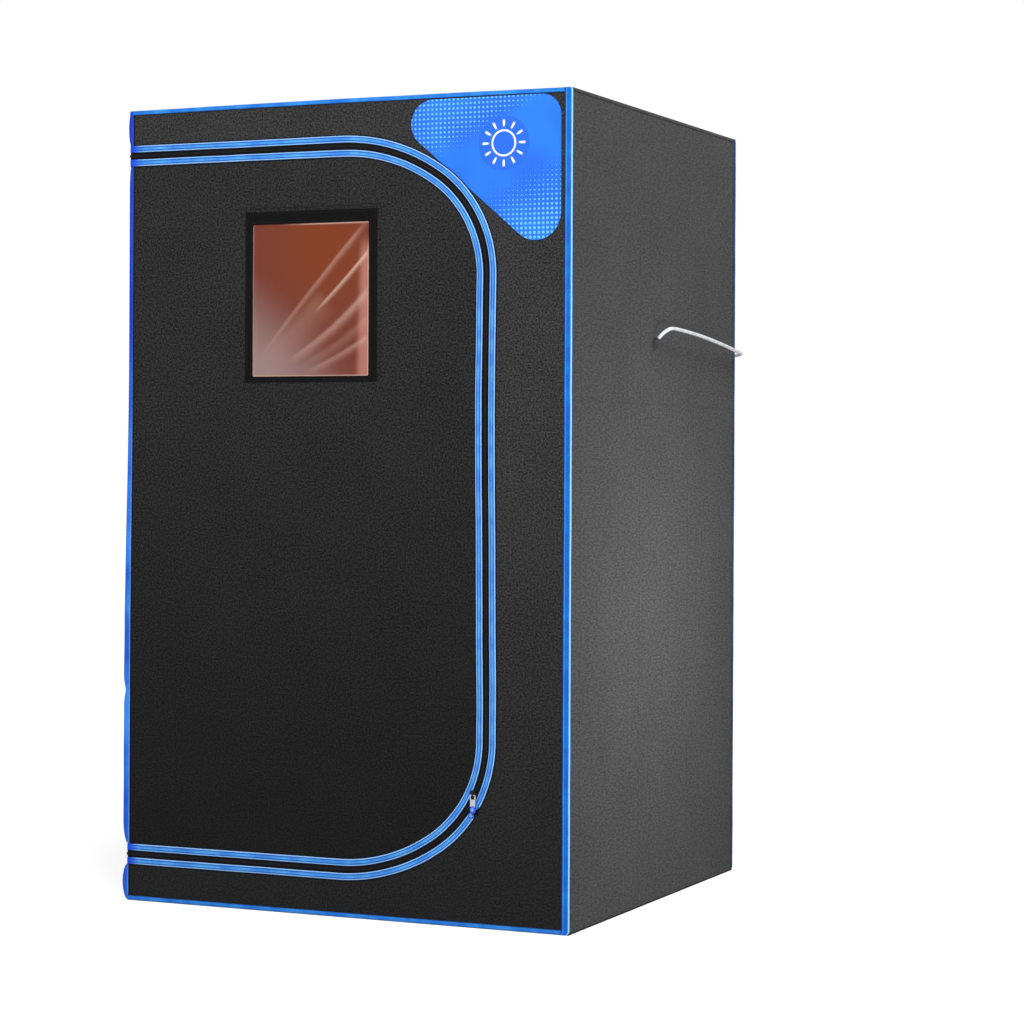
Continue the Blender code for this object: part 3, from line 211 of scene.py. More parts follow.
@dataclass(frozen=True)
class PaddedCloth(Finish):
    """Polyester oxford over thin wadding: a fine weave, speckled fibres and soft cloudy wear.

    Args:
        light: the colour of the fibres that catch the light.
        pitch: the weave's pitch.
        speckle: how strongly the fibres differ, from 0 to 1.
        rib: how much deeper the weave runs crosswise than lengthwise.
        folds: places of the packing folds, first across and then up the wall, along which painted shade
            darkens the cloth.
        slub: size of the uneven threads, across and up.
        foot_shade: painted shade that darkens the cloth towards the foot: its colour, how much of it shows at
            the foot, and the height where it ends.
    """

    light: str = "#3c3c3c"
    pitch: float = 1.1 * MM
    speckle: float = 0.5
    rib: float = 0.0
    folds: tuple[tuple[float, ...], tuple[float, ...]] = ((), ())
    slub: tuple[float, float] = (3.6 * MM, 3.6 * MM)
    foot_shade: tuple[str, float, float] = ("#000000", 0.0, 1.0)

    def pattern(self, tree: Tree, shader: bpy.types.Node) -> None:
        """Threads give fine ribs, stretched noise gives the slubs, and large noise the cloudy tone."""
        uv = self.place(tree, Place.SURFACE)
        thread = {"Vector": uv, "Distortion": 0.6, "Detail": 1.0}
        warp = node(tree, "TexWave", {**thread, "Scale": WAVE / self.pitch}, 1, bands_direction="X")
        wide = self.pitch * (1 + self.rib)
        weft = node(tree, "TexWave", {**thread, "Scale": WAVE / wide}, 1, bands_direction="Y")
        scale = (1.0 / self.slub[0], 1.0 / self.slub[1], 1.0)
        drawn = node(tree, "Mapping", {"Vector": uv, "Scale": scale})
        slubs = node(tree, "TexNoise", {"Vector": drawn, "Scale": 1.0})
        fibre = node(tree, "MapRange", {0: slubs, 1: 0.34, 2: 0.68}, **STEP)
        cloud = node(tree, "TexNoise", {"Vector": uv, "Scale": 1 / (160 * MM)})
        tone = fibre * self.speckle + (cloud - 0.5) * 0.3
        tone = tone.math("ADD", weft * (self.rib * 0.4), use_clamp=True)
        colour = node(tree, "Mix", {0: tone, 6: self.colour, 7: self.light}, **COLOURS)
        height = warp * weft + fibre * 0.6
        across, up = (node(tree, "SeparateXYZ", {0: uv}, k) for k in (0, 1))
        # Painted shade: the colour darkens towards the foot of the wall.
        dark, share, end = self.foot_shade
        if share > 0:
            pressed = 1.0 - node(tree, "MapRange", {0: up, 1: 0.0, 2: end}, **STEP)
            colour = node(tree, "Mix", {0: pressed * share, 6: colour, 7: dark}, **COLOURS)
        creases = [way.near(at, 3.5 * MM) for way, places in zip((across, up), self.folds) for at in places]
        normal = node(tree, "Bump", {"Height": height, "Distance": 0.25 * MM, "Strength": 0.5})
        if creases:
            total = creases[0]
            for crease in creases[1:]:
                total = total.math("MAXIMUM", crease)
            # Painted shade in the folds: darker lines, broken up by noise, over a shallow dent.
            worn = node(tree, "TexNoise", {"Vector": uv, "Scale": 1 / (60 * MM)})
            fold_shade = total * node(tree, "MapRange", {0: worn, 1: 0.3, 2: 0.62}, **STEP)
            colour = node(tree, "Mix", {0: fold_shade * 0.42, 6: colour, 7: self.colour}, **COLOURS)
            dent = {"Height": fold_shade, "Distance": 0.5 * MM, "Strength": 0.6, "Normal": normal}
            normal = node(tree, "Bump", dent)
        fill(shader, {
            "Base Color": colour, "Normal": normal, "Sheen Weight": 0.06, "Sheen Roughness": 0.5,
            "Specular IOR Level": 0.1,
        })


@dataclass(frozen=True)
class Lining(Finish):
    """Aluminised film on the inside of the walls: bright, slightly crinkled and pressed with a fine grid."""

    light: str = "#cbcfd4"

    def pattern(self, tree: Tree, shader: bpy.types.Node) -> None:
        """Voronoi facets of 26 and 9 mm give the crinkles, and two bands of 6 mm the pressed grid."""
        uv = self.place(tree, Place.SURFACE)
        wide, small = (node(tree, "TexVoronoi", {"Vector": uv, "Scale": 1 / (size * MM)}) for size in (26, 9))
        crinkle = small.math("MULTIPLY_ADD", 0.35, wide)
        press = {"Vector": uv, "Scale": WAVE / (6 * MM), "Distortion": 0.0, "Detail": 1.0}
        across, up = (node(tree, "TexWave", press, 1, bands_direction=way) for way in "XY")
        height = (across * up).math("MULTIPLY_ADD", 0.1, crinkle)
        tone = node(tree, "MapRange", {0: crinkle, 1: 0.1, 2: 1.1}, **STEP)
        colour = node(tree, "Mix", {0: tone, 6: self.colour, 7: self.light}, **COLOURS)
        normal = node(tree, "Bump", {"Height": height, "Distance": 1.4 * MM, "Strength": 0.7})
        fill(shader, {"Base Color": colour, "Normal": normal, "Metallic": 0.8})


class Lay(Enum):
    """Which way the raised ribs of a tape run."""

    LENGTHWISE = "Y"
    CROSSWISE = "X"


@dataclass(frozen=True)
class Tape(Finish):
    """Woven polyester edging tape: raised ribs, darker threads between them, and pale bands that are painted
    highlights.

    Args:
        light: colour of the ribs' tops.
        edge: colour of the pale bands, which are painted highlights.
        shade: colour of the dark lines: threads, and painted shade where a line lies on a fold.
        width: the tape's width, along which the lines are placed.
        lines: places of the dark lines, as shares of the width.
        stitch: half the width of a dark thread.
        edges: middle, half width and strength of each pale band.
        lay: which way the fine ribs run.
        pitch: the fine ribs' pitch.
        dye: size of the patches where the dye is stronger or weaker.
        turned: a deeper blue, mixed in by the attribute turned: towards the trims' ends, and on the piping
            above chest height.
    """

    light: str = "#5aa9ff"
    edge: str = "#8fd4ff"
    shade: str = "#1f55b8"
    width: float = 14 * MM
    lines: tuple[float, ...] = ()
    stitch: float = 1.0 * MM
    edges: tuple[tuple[float, float, float], ...] = ()
    lay: Lay = Lay.CROSSWISE
    pitch: float = 1.6 * MM
    dye: float = 45 * MM
    turned: str = ""

    def pattern(self, tree: Tree, shader: bpy.types.Node) -> None:
        """Bands give the ribs, set places the dark lines, and noise changes the dye slowly."""
        uv = self.place(tree, Place.SURFACE)
        across = node(tree, "SeparateXYZ", {0: uv}, 1)
        weave = {"Vector": uv, "Scale": WAVE / self.pitch, "Distortion": 0.4, "Detail": 1.0}
        ribs = node(tree, "TexWave", weave, 1, bands_direction=self.lay.value)
        slow = node(tree, "TexNoise", {"Vector": uv, "Scale": 1 / self.dye, "Detail": 3.0})
        dye = node(tree, "MapRange", {0: slow, 1: 0.36, 2: 0.64}, **STEP)
        tone = ribs.math("MULTIPLY_ADD", 0.35, dye * 0.65)
        colour = node(tree, "Mix", {0: tone, 6: self.colour, 7: self.light}, **COLOURS)
        dark = None
        for share in self.lines:
            one = across.near(share * self.width, self.stitch)
            dark = one if dark is None else dark.math("MAXIMUM", one)
        if dark is not None:
            colour = node(tree, "Mix", {0: dark * 0.85, 6: colour, 7: self.shade}, **COLOURS)
        # Pale bands: painted highlights.
        for at, half, strength in self.edges:
            pale = across.near(at, half) * strength
            colour = node(tree, "Mix", {0: pale, 6: colour, 7: self.edge}, **COLOURS)
        if self.turned:
            share = node(tree, "Attribute", {}, 2, attribute_name="turned")
            colour = node(tree, "Mix", {0: share, 6: colour, 7: self.turned}, **COLOURS)
        cross = "Y" if self.lay is Lay.CROSSWISE else "X"
        weave = {"Vector": uv, "Scale": WAVE / (0.9 * MM), "Distortion": 0.3, "Detail": 1.0}
        height = ribs + node(tree, "TexWave", weave, 1, bands_direction=cross) * 0.5
        normal = node(tree, "Bump", {"Height": height, "Distance": 0.35 * MM, "Strength": 0.6})
        fill(shader, {
            "Base Color": colour, "Normal": normal, "Sheen Weight": 0.04, "Specular IOR Level": 0.15,
        })


@dataclass(frozen=True)
class Plastic(Finish):
    """Moulded or extruded plastic with a fine grain and slight unevenness in its gloss.

    Args:
        grain: size of the surface grain.
        depth: depth of the grain.
        coat: weight of a clear glossy skin.
        gloss: how much the plastic itself mirrors.
    """

    grain: float = 0.8 * MM
    depth: float = 0.04 * MM
    coat: float = 0.0
    gloss: float = 0.5

    def pattern(self, tree: Tree, shader: bpy.types.Node) -> None:
        """Small noise gives the grain, larger noise the finger-worn gloss."""
        where = self.place(tree, Place.SPACE)
        fine = node(tree, "TexNoise", {"Vector": where, "Scale": 1 / self.grain})
        patchy = node(tree, "TexNoise", {"Vector": where, "Scale": 1 / (22 * MM)})
        worn = node(tree, "MapRange", {0: patchy, 1: 0.3, 2: 0.7}, **STEP)
        lighter = (*[min(1.0, c * 1.12 + 0.004) for c in linear(self.colour)[:3]], 1.0)
        fill(shader, {
            "Base Color": node(tree, "Mix", {0: worn, 6: self.colour, 7: lighter}, **COLOURS),
            "Roughness": worn.math("MULTIPLY_ADD", 0.12, self.rough - 0.06),
            "Normal": node(tree, "Bump", {"Height": fine, "Distance": self.depth, "Strength": 0.5}),
            "Specular IOR Level": self.gloss, "Coat Weight": self.coat, "Coat Roughness": 0.12,
        })


@dataclass(frozen=True)
class Metal(Finish):
    """Plated or brushed metal with drawn scratches and dulled patches.

    Args:
        brush: pitch of the scratches.
        metallic_share: how much of it is metal; the rest shows its colour as a plain surface, which on the
            tab is a painted reflection.
    """

    brush: float = 0.5 * MM
    metallic_share: float = 1.0

    def pattern(self, tree: Tree, shader: bpy.types.Node) -> None:
        """Stretched noise gives the scratches, and round noise the dull patches."""
        where = self.place(tree, Place.SPACE)
        long = node(tree, "Mapping", {"Vector": where, "Scale": (1.0, 1.0, 0.06)})
        scratch = node(tree, "TexNoise", {"Vector": long, "Scale": 1 / self.brush, "Detail": 3.0})
        patchy = node(tree, "TexNoise", {"Vector": where, "Scale": 1 / (7 * MM)})
        dull = node(tree, "MapRange", {0: patchy, 1: 0.35, 2: 0.7}, **STEP)
        normal = node(tree, "Bump", {"Height": scratch, "Distance": 0.03 * MM, "Strength": 0.5})
        rough = dull.math("MULTIPLY_ADD", 0.18, self.rough)
        fill(shader, {"Roughness": rough, "Normal": normal, "Metallic": self.metallic_share})


@dataclass(frozen=True)
class Film(Finish):
    """Soft clear vinyl in front of the warm inside, whose lit red-brown is painted into the film's colour:
    hazy low on the left, with painted highlights on its creases.

    The surface carries four attributes, each from 0 to 1, and each has its colour here.

    Args:
        deep: colour in the film's darker middle.
        haze: colour of the hazy part.
        glow: colour of the painted band of light at the right edge.
        crease: colour of the painted highlights on the creases' tops and along the rims.
    """

    deep: str = "#7c3714"
    haze: str = "#957c78"
    glow: str = "#b4776a"
    crease: str = "#d2aa9c"

    def pattern(self, tree: Tree, shader: bpy.types.Node) -> None:
        """The attributes mix the colours: painted highlights on the creases and rims, and a painted band of
        light at the right edge.
        """
        colour: Flow | str = self.colour
        for name in ("deep", "haze", "glow", "crease"):
            share = node(tree, "Attribute", {}, 2, attribute_name=name)
            colour = node(tree, "Mix", {0: share, 6: colour, 7: getattr(self, name)}, **COLOURS)
        uv = self.place(tree, Place.SURFACE)
        ripple = node(tree, "TexNoise", {"Vector": uv, "Scale": 1 / (18 * MM)})
        normal = node(tree, "Bump", {"Height": ripple, "Distance": 0.25 * MM, "Strength": 0.35})
        fill(shader, {"Base Color": colour, "Normal": normal, "Specular IOR Level": 0.12})


@dataclass(frozen=True)
class Print(Finish):
    """Satin printed patch: blue that lightens in soft patches, a plain lattice of dots and a ring with rays.

    Args:
        light: the lighter blue.
        ink: colour of the dots.
        ring: the ring's middle on the patch.
    """

    light: str = "#1278f0"
    ink: str = "#74cdfb"
    ring: tuple[float, float] = (0.0, 0.0)

    def pattern(self, tree: Tree, shader: bpy.types.Node) -> None:
        """Distances on the patch give the motifs: dots on a lattice of 9 mm, and a ring of radius 24 mm."""
        uv = self.place(tree, Place.SURFACE)
        across, up = (node(tree, "SeparateXYZ", {0: uv}, k) for k in (0, 1))
        patchy = node(tree, "TexNoise", {"Vector": uv, "Scale": 1 / (120 * MM), "Detail": 1.0})
        soft = node(tree, "MapRange", {0: patchy, 1: 0.3, 2: 0.7}, **STEP)
        colour = node(tree, "Mix", {0: soft, 6: self.colour, 7: self.light}, **COLOURS)
        cells = node(tree, "VectorMath", {0: uv, 1: (9 * MM,) * 3}, operation="MODULO")
        cell = (node(tree, "SeparateXYZ", {0: cells}, k).math("ABSOLUTE") - 4.5 * MM for k in (0, 1))
        away = apart(*cell)
        slope = across * 0.5 - up
        low = node(tree, "MapRange", {0: slope, 1: -1.30, 2: -1.12}, **STEP) * (3.2 * MM)
        high = node(tree, "MapRange", {0: slope, 1: -1.345, 2: -1.42}, **STEP) * (2.6 * MM)
        inside = low.math("MAXIMUM", high) - away
        dots = node(tree, "MapRange", {0: inside, 1: 0.0, 2: 0.6 * MM}, **STEP)
        colour = node(tree, "Mix", {0: dots * 0.8, 6: colour, 7: self.ink}, **COLOURS)
        right, above = across - self.ring[0], up - self.ring[1]
        far = apart(right, above)
        plain = 1.0 - node(tree, "MapRange", {0: far, 1: 52 * MM, 2: 54 * MM}, **STEP)
        colour = node(tree, "Mix", {0: plain, 6: colour, 7: self.colour}, **COLOURS)
        turn = above.math("ARCTAN2", right)
        spoke = node(tree, "MapRange", {0: (turn * 12.0).math("COSINE"), 1: 0.72, 2: 0.86}, **STEP)
        ray = spoke * far.near(38 * MM, 9 * MM)
        motif = far.near(24 * MM, 2.6 * MM).math("MAXIMUM", ray)
        colour = node(tree, "Mix", {0: motif, 6: colour, 7: "#ffffff"}, **COLOURS)
        grain = node(tree, "TexNoise", {"Vector": uv, "Scale": 1 / (1.2 * MM)})
        normal = node(tree, "Bump", {"Height": grain, "Distance": 0.08 * MM, "Strength": 0.5})
        fill(shader, {"Base Color": colour, "Normal": normal, "Specular IOR Level": 0.35})


@dataclass(frozen=True)
class Glow(Finish):
    """A lit display segment."""

    def pattern(self, tree: Tree, shader: bpy.types.Node) -> None:
        """Plain light from the shader's own sockets."""
        where = self.place(tree, Place.SPACE)
        grain = node(tree, "TexNoise", {"Vector": where, "Scale": 1 / (0.4 * MM)})
        normal = node(tree, "Bump", {"Height": grain, "Distance": 0.01 * MM, "Strength": 0.3})
        fill(shader, {"Emission Color": linear(self.colour), "Emission Strength": 1.6, "Normal": normal})


class Finishes:
    """Every finish of the sauna, named for the real material."""

    # Oxford cloth: matt and speckled, with painted shade that darkens it towards the foot; on the door the
    # painted shade reaches nearly its whole height.
    FRONT_CLOTH = PaddedCloth(
        "front_cloth", "#1f1f1f", 0.88, light="#484848", speckle=0.78, foot_shade=("#101010", 0.66, 0.95)
    )
    DOOR_CLOTH = PaddedCloth(
        "door_cloth", "#171717", 0.88, light="#3d3d3d", speckle=0.78, foot_shade=("#0b0b0b", 0.71, 1.5)
    )
    # The side walls' cloth: the front's black oxford painted lighter, as painted light on the side that faces
    # the lamps.
    SIDE_CLOTH = PaddedCloth(
        "side_cloth", "#2f2f30", 0.86, light="#555556", speckle=0.62, rib=0.5, pitch=1.5 * MM,
        folds=((-0.406, -0.099, 0.176), (1.010, 0.46)), slub=(11 * MM, 3.8 * MM),
    )
    FRAME_CLOTH = PaddedCloth("window_frame_cloth", "#050505", 0.85, light="#161616", pitch=1.4 * MM)
    LINING = Lining("silver_lining", "#b9bec4", 0.34)
    # Woven tapes: ribbed, brightest along their edges, where highlights are painted.
    TRIM = Tape(
        "zip_trim_tape", "#3584ea", 0.6, light="#5cb6fb", edge="#a8d2fb", shade="#0f46aa", lines=(0.25, 0.70),
        stitch=1.4 * MM, edges=((0.5 * MM, 1.6 * MM, 0.9), (12.5 * MM, 1.8 * MM, 0.9)), lay=Lay.LENGTHWISE,
        turned="#1a50e4",
    )
    # The upright tape: its pale band at the corner is a painted highlight, and its dark line on the fold is
    # painted shade.
    SIDE_TAPE = Tape(
        "upright_tape", "#045ec8", 0.55, light="#0b78de", edge="#a6e2ff", shade="#04163a", width=16 * MM,
        lines=(0.05, 1.21), stitch=1.6 * MM, edges=((3.9 * MM, 1.0 * MM, 0.22), (15.4 * MM, 2.4 * MM, 0.95)),
        pitch=3.4 * MM,
    )
    EDGE_TAPE = Tape(
        "edge_tape", "#146cd4", 0.62, light="#3896ec", shade="#0a2c68", width=8 * MM, lines=(0.04,),
        pitch=2.2 * MM,
    )
    # The piping: its pale inner band is a painted highlight.
    PIPING = Tape(
        "left_piping", "#0a36c4", 0.5, light="#3a9cff", edge="#8fbcf8", shade="#061c58", width=20 * MM,
        lines=(0.015,), edges=((2.2 * MM, 1.2 * MM, 0.6),), lay=Lay.LENGTHWISE, pitch=3.4 * MM, dye=170 * MM,
        turned="#1234c0",
    )
    # The rear tape: the blue tape painted darker and duller, as painted shade on its fold at the side.
    REAR_TAPE = Tape("rear_tape", "#24446e", 0.62, light="#35588a", pitch=2.2 * MM)
    WEBBING = Tape(
        "black_webbing", "#0c0c0e", 0.75, light="#1e1e22", edge="#2a2a2e", shade="#050506", width=18 * MM,
        lines=(0.5,), edges=((0.4 * MM, 0.8 * MM, 0.8), (17.6 * MM, 0.8 * MM, 0.8)), pitch=1.8 * MM,
    )
    # Zip: dull narrow tape and thread, a moulded coil, and plated metal that mirrors softly.
    # Navy strips beside the trims and the piping: partly seams, partly painted shadow.
    SEAM_AND_SHADE = PaddedCloth("navy_seam_and_shade", "#040e26", 0.8, light="#0a1c44", speckle=0.4, pitch=0.9 * MM)
    ZIP_TAPE = PaddedCloth("zip_tape", "#03060f", 0.85, light="#0a1020", speckle=0.3, pitch=0.9 * MM)
    ZIP_COIL = Plastic("zip_coil", "#16130f", 0.5, grain=1.0 * MM, gloss=0.2)
    THREAD = Plastic("black_thread", "#060606", 0.7, grain=0.5 * MM)
    SLIDER_METAL = Metal("slider_black_nickel", "#3a3a40", 0.26)
    # The tab: half plain pale grey, a painted reflection of the lamps.
    TAB_METAL = Metal("tab_nickel", "#cfd1de", 0.3, metallic_share=0.5)
    BLUE_TIP = Plastic("blue_vinyl_tip", "#0f4fd0", 0.35, coat=0.4)
    # A paler blue disc on the tip and on the trim's end: a painted highlight.
    BLUE_STUD_HIGHLIGHT = Plastic("blue_stud_painted_highlight", "#5aa6f6", 0.3, coat=0.4)
    FILM = Film("window_film", "#70362a", 0.42)
    PATCH = Print("patch_print", "#0c66e2", 0.5, ring=(0.345, 1.500))
    # Inside: powder-coated steel with a satin skin, quilted polyester and a looped pile.
    TUBE = Plastic("powder_coated_tube", "#c6c9cc", 0.42, grain=1.6 * MM, depth=0.05 * MM, coat=0.2)
    CONNECTOR = Plastic("connector_plastic", "#1a1b1d", 0.5)
    QUILT_THREAD = Plastic("grey_quilting_thread", "#7c8088", 0.7, grain=0.5 * MM, gloss=0.2)
    HEATER = PaddedCloth("heater_cloth", "#33363a", 0.75, light="#5a5e66", pitch=1.3 * MM)
    MAT = PaddedCloth("foot_mat_pile", "#2c2f34", 0.95, light="#5c6068", speckle=0.9, pitch=2.4 * MM)
    # Moulded parts: soft vinyl leads that shine, matt cases and rubber.
    LEAD_BLACK = Plastic("black_lead", "#101113", 0.4, coat=0.2)
    LEAD_WHITE = Plastic("white_lead", "#e9eaec", 0.3, grain=3.0 * MM, depth=0.01 * MM, coat=0.5)
    PLUG_WHITE = Plastic("white_plug", "#dfe0e2", 0.36, coat=0.25)
    PIN = Metal("plug_pins", "#d9c9a0", 0.24)
    CASE = Plastic("controller_case", "#e4e5e7", 0.42)
    DISPLAY = Plastic("display_glass", "#0a0c10", 0.12, coat=0.6, depth=0.005 * MM)
    BUTTON = Plastic("button_rubber", "#c9ccd2", 0.5)
    DIGIT = Glow("lit_digit", "#ff5a30", 0.4)
    MARK = Plastic("printed_mark", "#30343a", 0.6)
    GLAND = Plastic("gland_rubber", "#3e3f42", 0.6, gloss=0.2)


def solid(
    name: str,
    places: Array,
    quads: Array,
    uv: Array,
    finishes: list[Finish],
    slots: Array | None = None,
    caps: tuple[Array, ...] = (),
    sharp: float = 40.0,
) -> Thing:
    """Makes one closed mesh object from arrays and turns its faces outwards.

    Args:
        name: the object's name.
        places: the points, n by 3.
        quads: four point numbers for each face.
        uv: surface coordinates in metres of each face's corners, faces by 4 by 2.
        finishes: the materials.
        slots: number of the material of each quad.
        caps: point numbers of each flat end face.
        sharp: angle in degrees above which an edge stays sharp.

    Returns:
        The object. Its volume is positive: where the sum of its cones is negative, all faces are turned.
    """
    a, b, c, d = (places[quads[:, k]] for k in range(4))
    volume = np.einsum("ij,ij->", a, np.cross(b, c)) + np.einsum("ij,ij->", a, np.cross(c, d))
    for cap in caps:
        fan = places[cap]
        volume += np.einsum("j,ij->", fan[0], np.cross(fan[1:-1], fan[2:]))
    if volume < 0:
        quads, uv = quads[:, ::-1], uv[:, ::-1]
        caps = tuple(cap[::-1] for cap in caps)
    mesh = bpy.data.meshes.new(name)
    mesh.from_pydata(places.tolist(), [], quads.tolist() + [cap.tolist() for cap in caps])
    layer = mesh.uv_layers.new(name="UVMap")
    corners = [uv.reshape(-1, 2)]
    for cap in caps:
        flat = places[cap]
        corners.append(flat[:, np.argsort(np.ptp(flat, axis=0))[1:]])
    layer.data.foreach_set("uv", np.concatenate(corners).astype(np.float32).ravel())
    for finish in finishes:
        mesh.materials.append(finish.material())
    if slots is not None:
        slots = np.concatenate([slots, np.zeros(len(caps))]).astype(np.int32)
        mesh.polygons.foreach_set("material_index", slots)
    mesh.polygons.foreach_set("use_smooth", np.ones(len(mesh.polygons), bool))
    mesh.set_sharp_from_angle(angle=math.radians(sharp))
    mesh.update()
    made = bpy.data.objects.new(name, mesh)
    bpy.context.scene.collection.objects.link(made)
    return made


def shell(
    name: str, outer: Array, inner: Array, uv: Array, finishes: list[Finish], ring: bool = False,
    sharp: float = 40.0,
) -> Thing:
    """A sheet with thickness: two grids of points joined along their edges.

    Args:
        name: the object's name.
        outer: points of the shown side, by two parameters, so n by m by 3.
        inner: points of the other side, in the same order.
        uv: surface coordinates of the grid, n by m by 2.
        finishes: the materials: the shown side's, and the other side's where there is a second one.
        ring: the first parameter runs all the way round.
        sharp: angle in degrees above which an edge stays sharp.

    Returns:
        The object.
    """
    count = outer.shape[0] * outer.shape[1]
    ids = np.arange(count).reshape(outer.shape[:2])
    if ring:
        ids = np.concatenate([ids, ids[:1]])
    a, b, c, d = ids[:-1, :-1], ids[1:, :-1], ids[1:, 1:], ids[:-1, 1:]
    front = np.stack([a, b, c, d], -1).reshape(-1, 4)
    back = np.stack([a, d, c, b], -1).reshape(-1, 4) + count
    rims = [
        np.stack([b[:, 0], a[:, 0], a[:, 0] + count, b[:, 0] + count], -1),
        np.stack([d[:, -1], c[:, -1], c[:, -1] + count, d[:, -1] + count], -1),
    ]
    if not ring:
        rims.append(np.stack([a[0], d[0], d[0] + count, a[0] + count], -1))
        rims.append(np.stack([c[-1], b[-1], b[-1] + count, c[-1] + count], -1))
    rim = np.concatenate(rims)
    quads = np.concatenate([front, back, rim])
    slots = np.zeros(len(quads))
    if len(finishes) > 1:
        slots[len(front) : len(front) + len(back)] = 1
    flat = np.concatenate([uv.reshape(-1, 2)] * 2)
    places = np.concatenate([outer.reshape(-1, 3), inner.reshape(-1, 3)])
    return solid(name, places, quads, flat[quads], finishes, slots, sharp=sharp)


def walk(line: Array) -> Array:
    """Distance walked from a line's first point to each of its points."""
    return np.concatenate([[0], np.cumsum(np.linalg.norm(np.diff(line, axis=0), axis=1))])


def ways(angles: Array) -> Array:
    """The flat direction of each angle: its cosine and its sine."""
    return np.stack([np.cos(angles), np.sin(angles)], -1)


def plate(
    name: str, flat: Array, back: float, height: Array, finish: Finish, uv: Array | None = None,
    ring: bool = False, sharp: float = 60.0,
) -> Thing:
    """A sheet that stands on the front wall, with a level back.

    Args:
        name: the object's name.
        flat: its points across and up, n by m by 2.
        back: where its back lies, as a y coordinate.
        height: how far each point of its front stands off its back.
        finish: the material.
        uv: its surface coordinates, where they aren't its points.
        ring: the first parameter runs all the way round.
        sharp: angle in degrees above which an edge stays sharp.

    Returns:
        The object.
    """
    front, behind = (np.insert(flat, 1, back - h * np.ones(flat.shape[:2]), -1) for h in (height, 0.0))
    return shell(name, front, behind, flat if uv is None else uv, [finish], ring, sharp)


def tube(name: str, rings: Array, finish: Finish, ring: bool = False, sharp: float = 50.0) -> Thing:
    """A closed section carried along a line.

    Args:
        name: the object's name.
        rings: points of the section at each step, n by m by 3. The section closes on itself.
        finish: the material.
        ring: the line closes on itself too, so there are no end faces.
        sharp: angle in degrees above which an edge stays sharp.

    Returns:
        The object. Its surface coordinates are the lengths along the line and round the section.
    """
    steps, count = rings.shape[:2]
    closed = np.concatenate([rings, rings[:, :1]], 1)
    ids = np.arange(steps * count).reshape(steps, count)
    ids = np.concatenate([ids, ids[:, :1]], 1)
    if ring:
        closed, ids = np.concatenate([closed, closed[:1]]), np.concatenate([ids, ids[:1]])
    widest = closed[np.argmax(np.linalg.norm(np.diff(closed, axis=1), axis=2).sum(1))]
    uv = np.stack(np.meshgrid(walk(closed.mean(1)), walk(widest), indexing="ij"), -1)
    near, far = slice(None, -1), slice(1, None)
    corners = [(near, near), (far, near), (far, far), (near, far)]
    quads = np.stack([ids[at] for at in corners], -1).reshape(-1, 4)
    flat = np.stack([uv[at] for at in corners], -2).reshape(-1, 4, 2)
    caps = () if ring else (ids[0, :-1][::-1], ids[-1, :-1])
    return solid(name, rings.reshape(-1, 3), quads, flat, [finish], None, caps, sharp)


def frames_along(line: Array, up: tuple[float, ...] = (0, 0, 1), ring: bool = False) -> tuple[Array, Array]:
    """Two directions across a line at each of its points, both square to it.

    Args:
        line: the points, n by 3.
        up: the direction that the second one keeps to.
        ring: the line closes on itself.

    Returns:
        The sideways direction and the upward one, each n by 3.
    """
    if ring:
        way = np.roll(line, -1, 0) - np.roll(line, 1, 0)
    else:
        way = np.gradient(line, axis=0)
    way /= np.linalg.norm(way, axis=1, keepdims=True)
    side = np.cross(way, np.array(up, float))
    side /= np.maximum(np.linalg.norm(side, axis=1, keepdims=True), 1e-9)
    return side, np.cross(side, way)


def sweep(line: Array, section: Array, side: Any, up: Any) -> Array:
    """Places a section, m by 2 or n by m by 2, at every point of a line, along two directions across it."""
    section = np.broadcast_to(section, (len(line), *section.shape[-2:]))
    side, up = (np.broadcast_to(way, line.shape)[:, None] for way in (side, up))
    return line[:, None] + section[..., :1] * side + section[..., 1:] * up


def oval(width: float, height: float, count: int, power: float = 2.0) -> Array:
    """A superellipse about the origin: a cosine and a sine, each raised to 2 over the power."""
    turn = np.linspace(0, TAU, count, endpoint=False)
    flat = ways(turn)
    return np.sign(flat) * np.abs(flat) ** (2 / power) * (width, height) / 2


def cluster(name: str, template: Array, quads: Array, moves: Array, at: Array, finish: Finish) -> Thing:
    """Many copies of one small closed shape in one object, such as stitches.

    Args:
        name: the object's name.
        template: the shape's points, k by 3.
        quads: its faces.
        moves: one 3 by 3 matrix for each copy, with the copy's axes as columns.
        at: the copies' places, n by 3.
        finish: the material.

    Returns:
        The object.
    """
    places = np.einsum("nij,kj->nki", moves, template) + at[:, None]
    shift = (np.arange(len(at)) * len(template))[:, None, None]
    faces = (quads[None] + shift).reshape(-1, 4)
    flat = np.tile(template[quads][..., :2], (len(at), 1, 1))
    return solid(name, places.reshape(-1, 3), faces, flat, [finish], sharp=60)


def bead(rings: int = 5, sides: int = 6) -> tuple[Array, Array]:
    """Points and quads of a unit capsule along X: a superellipse turned about X, with pointed poles."""
    t = np.linspace(-1, 1, rings)
    radius = np.sqrt(np.maximum(1 - np.abs(t) ** 3, 0.0004))
    round_it = radius[:, None, None] * ways(np.linspace(0, TAU, sides, endpoint=False))
    grid = np.concatenate([np.repeat(t[:, None, None], sides, 1), round_it], -1)
    ids = np.arange(rings * sides).reshape(rings, sides)
    nxt = np.roll(ids, -1, 1)
    quads = np.stack([ids[:-1], ids[1:], nxt[1:], nxt[:-1]], -1).reshape(-1, 4)
    half = sides // 2
    ends = []
    for row in (ids[0], ids[-1][::-1]):
        ends += [[row[k], row[k + 1], row[sides - 2 - k], row[sides - 1 - k]] for k in range(half - 1)]
    return grid.reshape(-1, 3), np.concatenate([quads, np.array(ends)])


